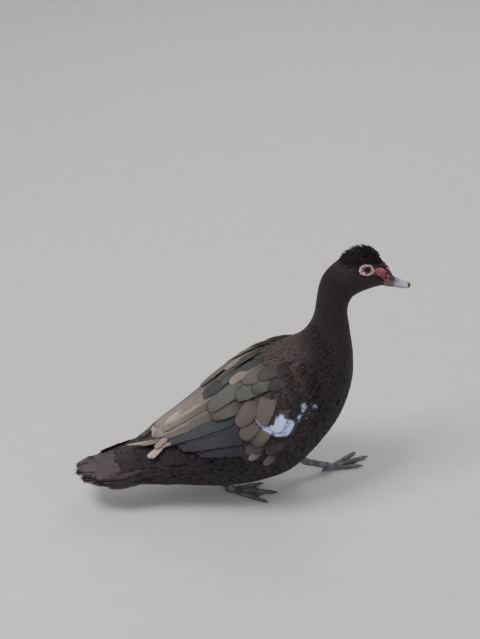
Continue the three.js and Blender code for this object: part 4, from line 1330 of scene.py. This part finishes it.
legFinish = legMaterial()
clawFinish = clawMaterial()
for name, leg in legs.items():
    parts = [closedGrid(placed(toeGrid(toe, leg), leg)) for toe in toes.values()]
    points, quads = slab(webGrid(leg), web["thick"], leg["side"] > 0)
    parts.append((placed(points, leg), quads))
    ball = ballGrid(24, 32, np.array([0, 0, knuckle["high"]]), np.diag(knuckle["radii"]))
    parts.append(closedGrid(placed(ball, leg), flip=True))
    points, quads = joined(parts)
    addPiece(f"footSkin_{name}", points, quads, legFinish, replaces=(f"foot_{name}",))
    rows = [(x + leg["x"], y + leg["y"], z, r) for x, y, z, r in leg["shank"]]
    points, quads = closedGrid(roundedEnds(limbGrid(rows, 90, 32, 0.05, 0.9)))
    addPiece(f"shankSkin_{name}", points, quads, legFinish, replaces=(f"shank_{name}",))
    points, quads = closedGrid(roundedEnds(limbGrid([(*r[:3], r[3] - 2.2) for r in leg["thigh"]], 40, 48)))
    addPiece(f"thighSkin_{name}", points, quads, skinFinish, replaces=(f"thigh_{name}",))
    for toeName, toe in toes.items():
        hind, level = toeLevel(toe)
        rows = []
        for u, least, radius in clawSize["rows"]:
            out = toe["long"] + 0.32 + clawSize["long"] * u * (clawSize["hind"] if hind else 1)
            high = max(level + 0.4 - clawSize["drop"] * max(u, 0) ** 2, least)
            rows.append((*toePlace(toe, leg, out, high), radius))
        points, quads = closedGrid(placed(limbGrid(rows, 24, 16), leg))
        claw = f"claw_{name}_{toeName}"
        addPiece(f"nail_{name}_{toeName}", points, quads, clawFinish, replaces=(claw,))
stage("legs")


def thighFrame(get, reach, look):
    # A feather on a thigh: t runs up the limb and p around it.
    t = get["t0"] + (get["t1"] - get["t0"]) * reach
    p = get["p0"] + 0 * reach
    rows = np.array(legs[look["leg"]]["thigh"], float)
    path = between(rows, t)
    step = between(rows, t - 0.02) - between(rows, t + 0.02)
    ahead = unit(step[..., :3])
    first = unit(np.cross(np.array([0.0, 1.0, 0.0]), ahead))
    second = np.cross(ahead, first)
    normal = first * np.cos(p)[..., None] + second * np.sin(p)[..., None]
    lift = get["lift0"] + (get["lift1"] - get["lift0"]) * smooth(0, 0.8, reach)
    centre = path[..., :3] + normal * (path[..., 3] + lift)[..., None]
    return centre, unit(np.cross(ahead, normal)), normal, 1.0, 14.0, 0 * t, 0 * t


thighCoat = {
    "rings": 15, "across": 13, "from": 0.2, "span": 2.9, "long": 0.75, "end": -0.12, "half": 6.0, "root": -2.2,
    "tip": -0.4, "length": 15.0,
}
for name in legs:
    ring, place = np.meshgrid(np.arange(thighCoat["rings"]), np.arange(thighCoat["across"]), indexing="ij")
    t = (thighCoat["from"] + thighCoat["span"] * ring / thighCoat["rings"]).ravel()
    count = len(t)
    p = ((place + 0.5 * (ring % 2)) / thighCoat["across"]).ravel() * 2 * np.pi + chance.normal(0, 0.1, count)
    rows = {
        "t0": t, "t1": np.maximum(t - thighCoat["long"], thighCoat["end"]),
        "p0": p, "s0": t, "a0": np.degrees(p),
        "half": thighCoat["half"] * (0.65 + 0.15 * t) * chance.uniform(0.85, 1.15, count),
        "lift0": np.full(count, thighCoat["root"]),
        "lift1": thighCoat["tip"] + 0.2 * chance.standard_normal(count),
        "long": np.full(count, thighCoat["length"]),
    }
    rows = painted(rows, "flank", "bodyEdge")
    look = dict(ringLook, leg=name)
    addCoat(f"thighCoat_{name}", rows, look, "body", bodyPattern, thighFrame)

# Floor, lights and camera.

floor = bpy.data.meshes.new("floor")
studio = {"reach": 6.0, "target": (0, 0, 0.18), "sky": (0.82, 0.86, 0.9, 1), "strength": 0.55}
corners = [(x * studio["reach"], y * studio["reach"], 0) for x, y in ((-1, -1), (1, -1), (1, 1), (-1, 1))]
floor.from_pydata(corners, [], [(0, 1, 2, 3)])
floorPiece = bpy.data.objects.new("floor", floor)
bpy.context.scene.collection.objects.link(floorPiece)
floorFinish = Material("floor")
grit = floorFinish.place.noise(30.0)
floorFinish.set({"Base Color": grit.mixed((196, 193, 190), (208, 205, 202)), "Roughness": 0.9})
floor.materials.append(floorFinish.material)

lights = {
    "key": {"at": (-1.2, -0.5, 2.4), "size": 1.0, "power": 60, "colour": (1.0, 0.97, 0.93)},
    "fill": {"at": (1.2, -2.2, 1.5), "size": 2.0, "power": 18, "colour": (0.93, 0.96, 1.0)},
    "rim": {"at": (0.9, 1.8, 1.9), "size": 1.4, "power": 22, "colour": (1.0, 0.98, 0.96)},
}
for name, row in lights.items():
    lamp = bpy.data.lights.new(name, "AREA")
    lamp.size = row["size"]
    lamp.energy = row["power"]
    lamp.color = row["colour"]
    light = bpy.data.objects.new(name, lamp)
    light.location = row["at"]
    light.rotation_euler = (Vector(studio["target"]) - Vector(row["at"])).to_track_quat("-Z", "Y").to_euler()
    bpy.context.scene.collection.objects.link(light)
world = bpy.data.worlds.new("studio")
world.use_nodes = True
sky = world.node_tree.nodes["Background"].inputs
sky["Color"].default_value = studio["sky"]
sky["Strength"].default_value = studio["strength"]
bpy.context.scene.world = world

view = {"at": (-378.65, -2147.42, 1526.06), "yaw": 80.787, "pitch": -29.549, "field": 20.888}
cameraData = bpy.data.cameras.new("camera")
cameraData.sensor_fit = "VERTICAL"
cameraData.sensor_height = 24
cameraData.lens = 12 / math.tan(math.radians(view["field"] / 2))
cameraData.clip_end = 50
camera = bpy.data.objects.new("camera", cameraData)
camera.location = (np.array(view["at"]) + shift) / 1000
yaw, pitch = math.radians(view["yaw"]), math.radians(view["pitch"])
gaze = Vector((math.cos(pitch) * math.cos(yaw), math.cos(pitch) * math.sin(yaw), math.sin(pitch)))
camera.rotation_euler = gaze.to_track_quat("-Z", "Y").to_euler()
bpy.context.scene.collection.objects.link(camera)
bpy.context.scene.camera = camera
stage("floor, lights and camera")
